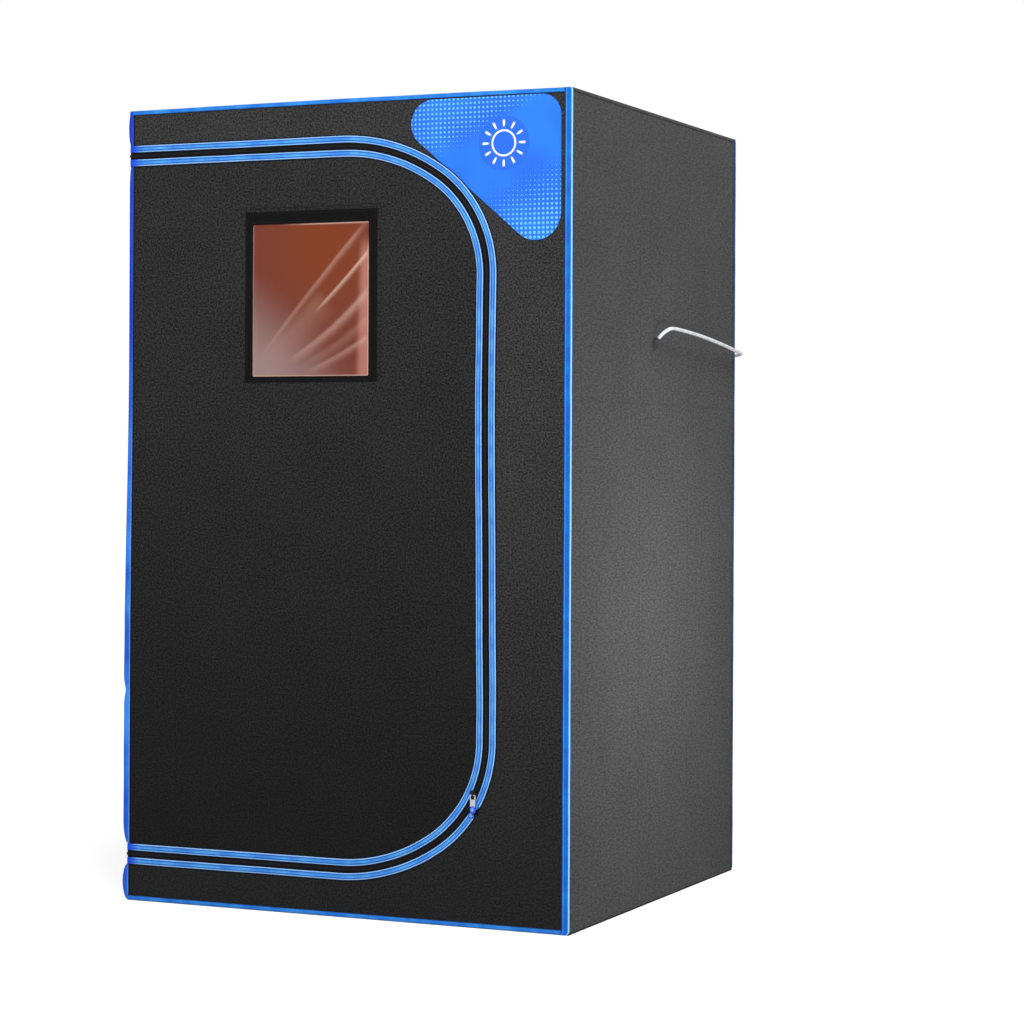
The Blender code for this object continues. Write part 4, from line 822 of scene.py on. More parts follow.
def stitches(
    name: str, line: Array, normal: Array, pitch: float, finish: Finish, thick: float, sides: int = 6
) -> Thing:
    """A row of stitches along a line: capsules that fill two thirds of each pitch.

    Args:
        name: the object's name.
        line: points of the seam, n by 3, close together.
        normal: the direction away from the cloth.
        pitch: length of one stitch and its gap.
        finish: the thread's material.
        thick: the thread's thickness.
        sides: number of sides of each capsule.

    Returns:
        The object.
    """
    walked = walk(line)
    marks = np.arange(pitch / 2, walked[-1], pitch)
    at, ahead, back = (
        np.stack([np.interp(marks + shift * pitch, walked, line[:, k]) for k in range(3)], -1)
        for shift in (0, 0.1, -0.1)
    )
    way = ahead - back
    way /= np.linalg.norm(way, axis=1, keepdims=True)
    out = np.broadcast_to(normal, way.shape)
    side = np.cross(out, way)
    moves = np.stack([way * pitch * 0.34, side * thick / 2, out * thick / 2], -1)
    return cluster(name, *bead(sides - 1, sides), moves, at, finish)


def area_of(outline: Array) -> float:
    """Area inside a flat outline, by half the sum of its edges' cross products."""
    x, y = outline.T
    return abs(float(np.dot(x, np.roll(y, -1)) - np.dot(y, np.roll(x, -1)))) / 2


def reach(centre: Array, outline: Array, angles: Array) -> Array:
    """Distance from a point to the convex outline round it along each angle.

    It is the least distance to the lines through the outline's edges that face that way.
    """
    edge = np.roll(outline, -1, 0) - outline
    keep = np.linalg.norm(edge, axis=1) > 1e-7
    edge, start = edge[keep], outline[keep] - centre
    way_round = np.sign(np.cross(start, start + edge).sum())
    normal = way_round * np.stack([edge[:, 1], -edge[:, 0]], -1) / np.linalg.norm(edge, axis=1)[:, None]
    off = np.maximum(np.einsum("ij,ij->i", normal, start), 0)
    facing = ways(angles) @ normal.T
    return np.where(facing > 1e-6, off / np.maximum(facing, 1e-6), np.inf).min(1)


def radial(centre: Array, inner: Array, outer: Array, angles: Array, rings: int, ease: float = 1.0) -> Array:
    """Points between two convex outlines, by angle about a point within both and by share of the way.

    Args:
        centre: the point.
        inner: the near outline.
        outer: the far outline.
        angles: the angles of the rays.
        rings: number of points along each ray.
        ease: power of the share: above 1 the points crowd at the near outline.

    Returns:
        The points, angles by rings by 2.
    """
    near, far = reach(centre, inner, angles), reach(centre, outer, angles)
    share = np.linspace(0, 1, rings) ** ease
    away = near[:, None] + (far - near)[:, None] * share
    return centre + away[..., None] * ways(angles)[:, None]


def rays(
    centre: Array, outlines: list[Array], count: int, low: float = -math.pi, high: float = math.pi
) -> Array:
    """Even angles from low to high, with one more through each corner of the outlines."""
    corners = [np.arctan2(o[:, 1] - centre[1], o[:, 0] - centre[0]) for o in outlines]
    even = np.linspace(low, high, count, endpoint=high - low < TAU - 1e-6)
    angles = np.concatenate([even, *corners])
    angles = np.unique(np.round(angles[(angles >= low - 1e-9) & (angles <= high + 1e-9)], 7))
    return angles[np.concatenate([[True], np.diff(angles) > 2e-5])]


def oblong(left: float, right: float, low: float, high: float, radius: float = 0.0, steps: int = 6) -> Array:
    """A rectangle, with round corners where a radius is given, anticlockwise."""
    if radius <= 0:
        return np.array([(left, low), (right, low), (right, high), (left, high)])
    turn = np.linspace(0, QUARTER, steps)[None] + math.pi + QUARTER * np.arange(4)[:, None]
    cx = np.array([left + radius, right - radius, right - radius, left + radius])[:, None]
    cy = np.array([low + radius, low + radius, high - radius, high - radius])[:, None]
    return np.stack([cx + radius * np.cos(turn), cy + radius * np.sin(turn)], -1).reshape(-1, 2)


def smooth_step(t: Array) -> Array:
    """0 below 0, 1 above 1, and 3 t squared minus 2 t cubed between."""
    t = np.clip(t, 0, 1)
    return t * t * (3 - 2 * t)


def relief(a: Array, b: Array, seed: int, spans: tuple[float, float] = (0.12, 0.55)) -> Array:
    """Slow unevenness of stretched padded cloth, from about -1 to 1.

    It is the mean of nine sine waves, whose directions, phases and lengths come from a seed.
    """
    draw = np.random.default_rng(seed)
    turn, phase, size = draw.uniform(0, math.pi, 9), draw.uniform(0, TAU, 9), draw.uniform(*spans, 9)
    shape = (1,) * a.ndim + (9,)
    turn, phase, size = (v.reshape(shape) for v in (turn, phase, size))
    waves = np.sin(TAU * (a[..., None] * np.cos(turn) + b[..., None] * np.sin(turn)) / size + phase)
    return waves.mean(-1) * 1.8


def turned(wide: Array, along: Array, sides: int) -> Array:
    """Rings of a profile turned about the y axis: its radii, and their places along it."""
    turn = np.linspace(0, TAU, sides, endpoint=False)
    return np.insert(wide[:, None, None] * ways(turn), 1, np.repeat(along[:, None], sides, 1), -1)


def stud(name: str, at: Any, radius: float, rise: float, finish: Finish) -> Thing:
    """A small domed stud that faces the front: half an ellipse turned about the y axis."""
    share = np.linspace(0, 1, 12)
    wide = radius * np.sin(np.clip(share, 0.02, 1) * QUARTER)
    return tube(name, turned(wide, -rise * np.cos(share * QUARTER), 24) + np.array(at), finish)


def fit(thing: Thing, body: str, slot: str, *nodes: str) -> Thing:
    """Lets a piece ride on a body, and puts it in the place of the CAD nodes named, which it hides."""
    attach(thing, body)
    if nodes:
        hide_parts(*nodes)
    return thing


def joined(name: str, things: list[Thing]) -> Thing:
    """Joins objects into the first one, which takes the name."""
    first = things[0]
    with bpy.context.temp_override(active_object=first, selected_editable_objects=things, object=first):
        bpy.ops.object.join()
    first.name = first.data.name = name
    return first


def tag(thing: Thing, **values: Array) -> Thing:
    """Stores one number for each point of a mesh under each name."""
    for name, value in values.items():
        layer = thing.data.attributes.new(name, "FLOAT", "POINT")
        layer.data.foreach_set("value", np.asarray(value, np.float32).ravel())
    return thing


@dataclass(frozen=True)
class Tent:
    """Main sizes of the tent, in metres, as in its CAD source."""

    width: float = 0.975
    depth: float = 0.920
    height: float = 1.600
    cloth: float = 0.004
    gap: float = 0.0003
    face: float = 0.4582
    side: float = 0.4857
    roof: float = 1.5982
    wall_top: float = 1.5939
    wall_foot: float = 0.0043
    gland: tuple[float, float] = (-0.0255, 1.1336)


@dataclass(frozen=True)
class ClosingLine:
    """The zip's centre line: two level runs and an upright, joined by corners of two arcs each."""

    left: float = -0.4857
    top: float = 1.5083
    bottom: float = 0.0940
    side: float = 0.3115
    wide_radius: float = 0.370
    side_radius: float = 0.240
    join: float = math.radians(56.0)

    def marks(self) -> tuple[float, float, float, float]:
        """Distances from the start to the end of the level run, of each arc, and of the whole half."""
        arc_x = self.side - self.side_radius - (self.wide_radius - self.side_radius) * math.cos(self.join)
        level = arc_x - self.left
        wide = level + self.wide_radius * (QUARTER - self.join)
        tight = wide + self.side_radius * self.join
        return level, wide, tight, tight + (self.top - self.bottom) / 2 - self.drop()

    def drop(self) -> float:
        """Height that a corner takes, from the level run to the upright."""
        return self.wide_radius - (self.wide_radius - self.side_radius) * math.sin(self.join)

    def length(self) -> float:
        """Length of the whole line."""
        return 2 * self.marks()[3]

    def at(self, walked: Array, offset: Array | float = 0.0) -> tuple[Array, Array]:
        """Points of the line moved outwards, and the outward direction, both n by 2.

        The lower half mirrors the upper one. On an arc a point is its centre plus the radius times the
        direction, which turns by the distance walked over the radius.
        """
        level, wide, tight, half = self.marks()
        near = np.minimum(walked, 2 * half - walked)
        over = np.where(walked > half, -1.0, 1.0)
        parts = [near < level, near < wide, near < tight]
        turns = [QUARTER - (near - level) / self.wide_radius, self.join - (near - wide) / self.side_radius]
        turn = np.select(parts, [0 * near + QUARTER, *turns], 0.0)
        x, z = np.cos(turn), np.sin(turn)
        wide_x = self.left + level + self.wide_radius * x
        tight_x = self.side - self.side_radius + self.side_radius * x
        px = np.select(parts, [self.left + near, wide_x, tight_x], self.side)
        foot = self.top - self.drop()
        wide_z, tight_z = self.top - self.wide_radius + self.wide_radius * z, foot + self.side_radius * z
        pz = np.select(parts, [0 * near + self.top, wide_z, tight_z], foot - (near - tight))
        pz = np.where(over > 0, pz, self.top + self.bottom - pz)
        away = np.stack([x, z * over], -1)
        return np.stack([px, pz], -1) + away * np.reshape(offset, (-1, 1)), away

    def outline(self, offset: float, steps: int = 220) -> Array:
        """The closed outline inside the line moved outwards: the line itself and the left edge."""
        marks = np.array(self.marks())
        walked = np.concatenate([np.linspace(0, self.length(), steps), marks, self.length() - marks])
        return self.at(np.unique(walked), offset)[0]


TENT = Tent()
LINE = ClosingLine()


@dataclass
class Camera:
    """The camera that saw the photograph."""

    lens: float = 96.0
    yaw: float = math.radians(24.141)
    roll: float = math.radians(0.266)
    position: tuple[float, float, float] = (2.4888, -5.198, 0.8978)
    shift_y: float = -0.0517

    def build(self) -> Thing:
        """Places the camera, level but for a slight roll."""
        data = bpy.data.cameras.new("camera")
        data.lens, data.sensor_width, data.shift_y, data.clip_end = self.lens, 36.0, self.shift_y, 100
        camera = bpy.data.objects.new("camera", data)
        ahead = Vector((-math.sin(self.yaw), math.cos(self.yaw), 0))
        right, up = Vector((math.cos(self.yaw), math.sin(self.yaw), 0)), Vector((0, 0, 1))
        x = right * math.cos(self.roll) + up * math.sin(self.roll)
        y = up * math.cos(self.roll) - right * math.sin(self.roll)
        turn = Matrix((x, y, -ahead)).transposed().to_4x4()
        camera.matrix_world = Matrix.Translation(self.position) @ turn
        bpy.context.scene.collection.objects.link(camera)
        bpy.context.scene.camera = camera
        return camera


@dataclass
class Studio:
    """Plain pale floor and soft light, a little stronger from above and from the right."""

    reach: float = 30.0
    sink: float = 0.8 * MM
    sky: float = 0.28

    def lamp(self, name: str, at: tuple[float, ...], size: float, watts: float, to: tuple[float, ...],
             spread: float = 180) -> None:
        """One soft square light that faces a point, with a grid in front where its spread is below 180."""
        data = bpy.data.lights.new(name, "AREA")
        data.energy, data.size, data.spread = watts, size, math.radians(spread)
        lamp = bpy.data.objects.new(name, data)
        lamp.rotation_euler = (Vector(to) - Vector(at)).to_track_quat("-Z", "Y").to_euler()
        lamp.location = at
        bpy.context.scene.collection.objects.link(lamp)

    def floor(self) -> None:
        """A wide matt sheet that lightens away from the tent, as the camera sees it."""
        mesh = bpy.data.meshes.new("floor")
        corners = oblong(-self.reach, self.reach, -self.reach, self.reach)
        mesh.from_pydata([(x, y, -self.sink) for x, y in corners], [], [(0, 1, 2, 3)])
        floor = bpy.data.objects.new("floor", mesh)
        bpy.context.scene.collection.objects.link(floor)
        material = bpy.data.materials.new("pale_floor")
        material.use_nodes = True
        tree = material.node_tree
        seen = node(tree, "LightPath", {}, "Is Camera Ray")
        where = node(tree, "TexCoord", {}, "Object")
        away = node(tree, "VectorMath", {0: where}, "Value", operation="LENGTH")
        lift = node(tree, "MapRange", {0: away, 1: 0.7, 2: 2.4}, **STEP).math("MULTIPLY_ADD", 0.30, 0.62)
        fill(tree.nodes["Principled BSDF"], {
            "Base Color": linear("#f7f7f7"), "Roughness": 0.9, "Specular IOR Level": 0.1,
            "Emission Color": (1, 1, 1, 1), "Emission Strength": seen * lift,
        })
        mesh.materials.append(material)

    def build(self) -> None:
        """Makes the floor, the lights and the surroundings, white where the camera sees them."""
        self.floor()
        self.lamp("key", (2.2, -3.2, 3.6), 2.0, 133, (0.1, -0.4, 1.2))
        self.lamp("front", (-1.6, -4.4, 2.4), 2.6, 55, (0, -0.4, 0.9))
        self.lamp("top", (1.35, 0.75, 2.7), 0.9, 16, (0.49, 0.1, 1.1))
        self.lamp("side", (1.35, -0.04, 0.62), 0.35, 2.0, (0.5, -0.04, 0.62), 90)
        world = bpy.data.worlds.new("studio")
        world.use_nodes = True
        bpy.context.scene.world = world
        tree = world.node_tree
        fill(tree.nodes["Background"], {"Color": (1, 1, 1, 1), "Strength": self.sky})
        sky = Flow(tree, tree.nodes["Background"].outputs[0])
        plain = node(tree, "Background", {"Color": (1, 1, 1, 1), "Strength": 1.0})
        seen = node(tree, "LightPath", {}, "Is Camera Ray")
        fill(tree.nodes["World Output"], {"Surface": node(tree, "MixShader", {0: seen, 1: sky, 2: plain})})
        bpy.context.scene.view_settings.view_transform = "Standard"


@dataclass
class MainsLead:
    """The white mains lead: along the wall, round the corner, through its keeper, down and into a coil.

    The two lists are points of its way. The upper one counts from the rear right edge at the gland's height,
    the lower one from that edge on the floor.
    """

    diameter: float = 0.0075
    turns: int = 4
    steps: int = 24
    outer: float = 0.0520
    spare: float = 0.0006
    tail_run: float = 0.040
    tail_rise: float = 0.0055
    keeper: tuple[float, float] = (0.4125, 1.119)
    upper: tuple[tuple[float, float, float], ...] = (
        (0.0040, -0.4855, 0.0069), (0.0116, -0.4831, 0.0160), (0.0180, -0.4764, 0.0238),
        (0.0223, -0.4664, 0.0290), (0.0240, -0.4540, 0.0312), (0.0252, -0.4300, 0.0314),
        (0.0263, -0.3750, 0.0286), (0.0260, -0.2880, 0.0232), (0.0240, -0.1850, 0.0146),
        (0.0205, -0.0900, 0.0057), (0.0182, -0.0400, 0.0002), (0.0177, -0.0182, -0.0021),
        (0.0130, -0.0007, -0.0041), (0.0002, 0.0121, -0.0060), (-0.0173, 0.0168, -0.0080),
        (-0.0355, 0.0142, -0.0100), (-0.0575, 0.0080, -0.0126), (-0.0685, 0.0055, -0.0138),
        (-0.0835, 0.0046, -0.0156), (-0.1025, 0.0044, -0.0207), (-0.1164, 0.0045, -0.0346),
        (-0.1215, 0.0048, -0.0536), (-0.1220, 0.0055, -0.1036),
    )
    lower: tuple[tuple[float, float, float], ...] = (
        (-0.1220, 0.0055, 0.0900), (-0.1220, 0.0055, 0.0432), (-0.1220, 0.0106, 0.0242),
        (-0.1220, 0.0245, 0.0103), (-0.1220, 0.0435, 0.0053), (-0.1220, 0.0550, 0.00515),
    )

    def route(self) -> Array:
        """Points of the free stretch: the two lists, joined by a straight fall."""
        edge = np.array([TENT.width / 2, TENT.depth / 2, 0])
        upper = np.array(self.upper) + edge + (0, 0, TENT.gland[1])
        lower = np.array(self.lower) + edge
        fall = upper[-1] + (lower[0] - upper[-1]) * np.array([0.25, 0.5, 0.75])[:, None]
        return np.concatenate([upper, fall, lower])

    def smooth(self, points: Array, per: int = 6) -> Array:
        """A cubic through the points whose slope at each is the mean of its two neighbours' slopes."""
        step = np.linalg.norm(np.diff(points, axis=0), axis=1)
        slope = np.diff(points, axis=0) / step[:, None]
        turn = (slope[:-1] * step[:-1, None] + slope[1:] * step[1:, None]) / (step[:-1] + step[1:])[:, None]
        turn = np.concatenate([slope[:1], turn, slope[-1:]])
        t = (np.arange(per) / per)[None, :, None]
        a, b = points[:-1, None], points[1:, None]
        ta, tb = turn[:-1, None] * step[:, None, None], turn[1:, None] * step[:, None, None]
        line = a * (2 * t**3 - 3 * t**2 + 1) + ta * (t**3 - 2 * t**2 + t)
        line = line + b * (3 * t**2 - 2 * t**3) + tb * (t**3 - t**2)
        return np.concatenate([line.reshape(-1, 3), points[-1:]])

    def coil(self) -> Array:
        """Loops inwards on the floor, a climb, loops outwards on top, then a short tail.

        The radius shrinks and grows by one pitch a turn, and the height climbs one pitch at the reversal.
        """
        middle = self.route()[-1] + (-self.outer, self.diameter, 0)
        pitch, half = self.diameter + self.spare, self.turns / 2
        turn = np.arange(self.turns * self.steps + 1) / self.steps
        radius = self.outer - pitch * (half - np.abs(turn - half))
        height = pitch * smooth_step((turn - half) * 2 + 0.5)
        loops = middle + np.concatenate([radius[:, None] * ways(TAU * turn), height[:, None]], 1)
        share = np.arange(1, 6) / 5
        rise = self.tail_rise * (3 * share**2 - 2 * share**3)
        tail = loops[-1] + np.stack([0 * share, self.tail_run * share, rise], -1)
        return np.concatenate([loops, tail, tail[-1:] + (0, self.diameter, 0)])

    def build(self) -> list[Thing]:
        route = self.smooth(self.route())
        line = np.concatenate([route, self.coil()])
        curve = bpy.data.curves.new("mains_lead", "CURVE")
        curve.dimensions = "3D"
        curve.bevel_depth, curve.bevel_resolution, curve.use_fill_caps = self.diameter / 2, 5, True
        spline = curve.splines.new("POLY")
        spline.points.add(len(line) - 1)
        spline.points.foreach_set("co", np.concatenate([line, np.ones((len(line), 1))], 1).ravel())
        spline.use_smooth = True
        curve.materials.append(Finishes.LEAD_WHITE.material())
        lead = bpy.data.objects.new("mains_lead", curve)
        bpy.context.scene.collection.objects.link(lead)
        fit(lead, "tent", "white_plastic", "mains_cord", "cord_coil")
        pieces = [*self.plug(line[-1] + (0, TENT.gap, 0)), self.tie(), self.loop(), self.sleeve(route)]
        return [lead, *pieces]

    def sleeve(self, route: Array) -> Thing:
        """The gland's soft sleeve round the lead's first stretch: a tapered tube with shallow ribs. Its dark
        grey is partly the gland's rubber, partly painted shade where the lead leaves the wall.
        """
        walked = walk(route)
        share = np.linspace(0, 1, 45)
        line = np.stack([np.interp(share * 5 * MM, walked, route[:, k]) for k in range(3)], -1)
        radius = (5.2 - 1.0 * share + 0.15 * np.cos(share * TAU * 3)) * MM
        radius[-1] = self.diameter / 2
        section = oval(2, 2, 20)[None] * radius[:, None, None]
        sleeve = tube("gland_sleeve", sweep(line, section, *frames_along(line)), Finishes.GLAND)
        return fit(sleeve, "tent", "black_plastic")

    def plug(self, start: Array) -> tuple[Thing, Thing]:
        """A ribbed relief, a neck and a round body turned about the lead's end, and two pins."""
        along = [0, 0.6, 3, 5, 5.6, 8, 10, 10.6, 13, 15, 15.6, 18, 20, 20.6, 23, 25, 26, 28, 31.5, 33,
                 36, 40, 43, 45, 46, 50, 58, 65, 67.4, 68.6, 69, 69.0]
        wide = [4.0, 5.2, 5.3, 5.3, 4.7, 4.7, 5.6, 5.9, 5.9, 5.0, 5.0, 6.4, 6.6, 5.6, 5.8, 6.8, 7.9, 8.0,
                8.1, 9.0, 13.5, 16.4, 17.8, 18.2, 17.9, 17.9, 18.2, 18.2, 17.9, 17.2, 16.0, 0.02]
        shape = turned(np.array(wide) * MM, np.array(along) * MM, 40)
        grips = np.maximum(np.cos(np.linspace(0, TAU, 40, endpoint=False) * 2), 0)
        shape[..., 0] *= 1 - 0.035 * grips[None] * smooth_step((np.array(along) - 40) / 8)[:, None]
        plug = tube("plug_body", shape + start, Finishes.PLUG_WHITE)
        radius, depth = [2.4, 2.4, 2.4, 2.4, 1.9, 1.1, 0.02], [65, 69.2, 80, 86.4, 87.6, 88.0, 88.0]
        pin = turned(np.array(radius) * MM, np.array(depth) * MM, 20) + start
        pair = [tube(f"pin_{k}", pin + (way * 9.5 * MM, 0, 0), Finishes.PIN) for k, way in enumerate((-1, 1))]
        pieces = (plug, joined("plug_pins", pair))
        return tuple(fit(piece, "tent", "white_plastic", "plug") for piece in pieces)

    def tie(self) -> Thing:
        """A soft strap closed round the coil's far side: a rounded loop of thin webbing."""
        low, high = (np.array(corner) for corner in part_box("coil_tie"))
        half = (high - low) / 2 - 0.4 * MM
        x, z = oval(2, 2, 64, 4).T
        sway = 0.5 * MM * np.sin(np.linspace(0, TAU, 64, endpoint=False))
        line = (high + low) / 2 + np.stack([x * half[0], sway, z * half[2]], -1)
        section = oval(0.8 * MM, 12 * MM, 12, 5)
        loop = sweep(line, section, *frames_along(line, (0, 1, 0), ring=True))
        strap = tube("coil_strap", loop, Finishes.WEBBING, ring=True)
        return fit(strap, "tent", "black_plastic", "coil_tie")

    def loop(self) -> Thing:
        """The keeper: webbing that lies on the wall, rises over the lead and is sewn down at both ends."""
        x, z = self.keeper
        t = np.linspace(-1, 1, 90)
        bridge = smooth_step(1 - (np.abs(t) * 24 - 5) / 3)
        y = TENT.face + TENT.gap + 0.7 * MM + bridge * (self.diameter + 2.6 * MM)
        line = np.stack([0 * t + x, y, z + t * 21 * MM], -1)
        band = sweep(line, oval(1.0 * MM, 18 * MM, 14, 5), *frames_along(line, (1, 0, 0)))
        return fit(tube("lead_keeper", band, Finishes.WEBBING), "tent", "black_fabric", "cord_keeper")


@dataclass
class Walls:
    """The padded walls: cloth outside, silver lining inside, slightly uneven between their seams."""

    wave: float = 1.3 * MM
    mesh: float = 12 * MM

    def skin(self, name: str, grid: Array, axis: int, face: float, seed: int, edge: Array, finish: Finish,
             ring: bool = False) -> Thing:
        """Makes a wall from its grid, with its outer side at face and its lining inside.

        Args:
            name: the object's name.
            grid: the two coordinates on the wall, n by m by 2.
            axis: number of the coordinate square to the wall.
            face: where the wall's outer side is.
            seed: of the unevenness.
            edge: distance to the wall's nearest seam.
            finish: its cloth.
            ring: the grid runs all the way round.

        Returns:
            The wall.
        """
        a, b = grid[..., 0], grid[..., 1]
        wave = -self.wave * (0.5 + 0.5 * relief(a, b, seed)) * smooth_step(edge / 0.09)
        wave = wave - 0.2 * MM * smooth_step(1 - edge / 0.004)
        sign = math.copysign(1, face) if axis < 2 else (1 if face > 0.5 else -1)
        sides = (face, face - sign * TENT.cloth)
        outer, inner = (np.insert(grid, axis, at + sign * wave, -1) for at in sides)
        return shell(name, outer, inner, grid, [finish, Finishes.LINING], ring=ring)

    def between(self, grid: Array) -> Array:
        """Distance of each point of a grid of rays to the nearer end of its ray."""
        near, far = (np.linalg.norm(grid - grid[:, k], axis=2) for k in (slice(0, 1), slice(-1, None)))
        return np.minimum(near, far)

    def panel(self, name: str, axis: int, face: float, a: tuple[float, ...], b: tuple[float, ...],
              seed: int, finish: Finish) -> Thing:
        """One rectangular wall."""
        spans = [np.linspace(*span, int((span[1] - span[0]) / self.mesh)) for span in (a, b)]
        ga, gb = np.meshgrid(*spans, indexing="ij")
        edge = np.minimum(np.minimum(ga - a[0], a[1] - ga), np.minimum(gb - b[0], b[1] - gb))
        return self.skin(f"{name}_cloth", np.stack([ga, gb], -1), axis, face, seed, edge, finish)

    def door(self) -> Thing:
        """The door flap: rays from the window's middle, from the window's edge to the flap's edge."""
        window = oblong(*Window.span(), 10 * MM)
        outline = LINE.outline(-5 * MM)
        centre = window.mean(0)
        grid = radial(centre, window, outline, rays(centre, [window[::3], outline], 420), 64)
        flap = self.skin("door_cloth", grid, 1, -TENT.face, 11, self.between(grid), Finishes.DOOR_CLOTH, True)
        fit(flap, "door", "black_fabric", "door_flap")
        return flap

    def front(self) -> Thing:
        """The front wall round the door: rays from the left edge's middle, from the zip to the seams."""
        inner_line = LINE.outline(5 * MM)
        rim = oblong(-TENT.side, TENT.side, TENT.wall_foot, TENT.wall_top)
        centre = np.array([-TENT.side, 0.8])
        grid = radial(centre, inner_line, rim, rays(centre, [inner_line, rim], 420, -QUARTER, QUARTER), 18)
        wall = self.skin("front_cloth", grid, 1, -TENT.face, 12, self.between(grid), Finishes.FRONT_CLOTH)
        area = area_of(rim) - area_of(LINE.outline(-5 * MM))
        return self.settle(wall, "front_wall", "black_fabric", np.ptp(rim, axis=0))

    def right(self) -> Thing:
        """The right wall: rays from the gland's hole to the seams."""
        reach_y = TENT.face - TENT.cloth - TENT.gap
        rim = oblong(-reach_y, reach_y, TENT.wall_foot, TENT.wall_top)
        centre = np.array(TENT.gland)
        hole = centre + 8.1 * MM * ways(np.linspace(0, TAU, 48, endpoint=False))
        grid = radial(centre, hole, rim, rays(centre, [rim], 360), 72, 1.3)
        a, b = grid[..., 0], grid[..., 1]
        seams = (reach_y - np.abs(a), b - TENT.wall_foot, TENT.wall_top - b)
        edge = np.minimum.reduce((*seams, np.linalg.norm(grid - grid[:, :1], axis=2)))
        wall = self.skin("right_cloth", grid, 0, TENT.side, 13, edge, Finishes.SIDE_CLOTH, True)
        return self.settle(wall, "right_wall", "grey_fabric", np.ptp(rim, axis=0))

    def settle(self, wall: Thing, replaced: str, slot: str, size: Array) -> Thing:
        fit(wall, "tent", slot, replaced)
        size = tuple(float(v) for v in size)
        return wall

    def build(self) -> list[Thing]:
        """Makes every wall."""
        reach_y = TENT.face - TENT.cloth - TENT.gap
        upright = (TENT.wall_foot, TENT.wall_top)
        level, deep = (-TENT.side, TENT.side), (-TENT.face, TENT.face)
        made = [self.door(), self.front(), self.right()]
        plain = (
            ("left_wall", 0, -TENT.side, (-reach_y, reach_y), upright, Finishes.SIDE_CLOTH, "grey_fabric"),
            ("rear_wall", 1, TENT.face, level, upright, Finishes.FRONT_CLOTH, "black_fabric"),
            ("roof_panel", 2, TENT.roof, level, deep, Finishes.FRONT_CLOTH, "black_fabric"),
            ("floor_panel", 2, 0.0, level, deep, Finishes.FRONT_CLOTH, "black_fabric"),
        )
        for seed, (name, axis, face, a, b, finish, slot) in enumerate(plain, 21):
            wall = self.panel(name, axis, face, a, b, seed, finish)
            made.append(self.settle(wall, name, slot, np.array([a[1] - a[0], b[1] - b[0]])))
        return made


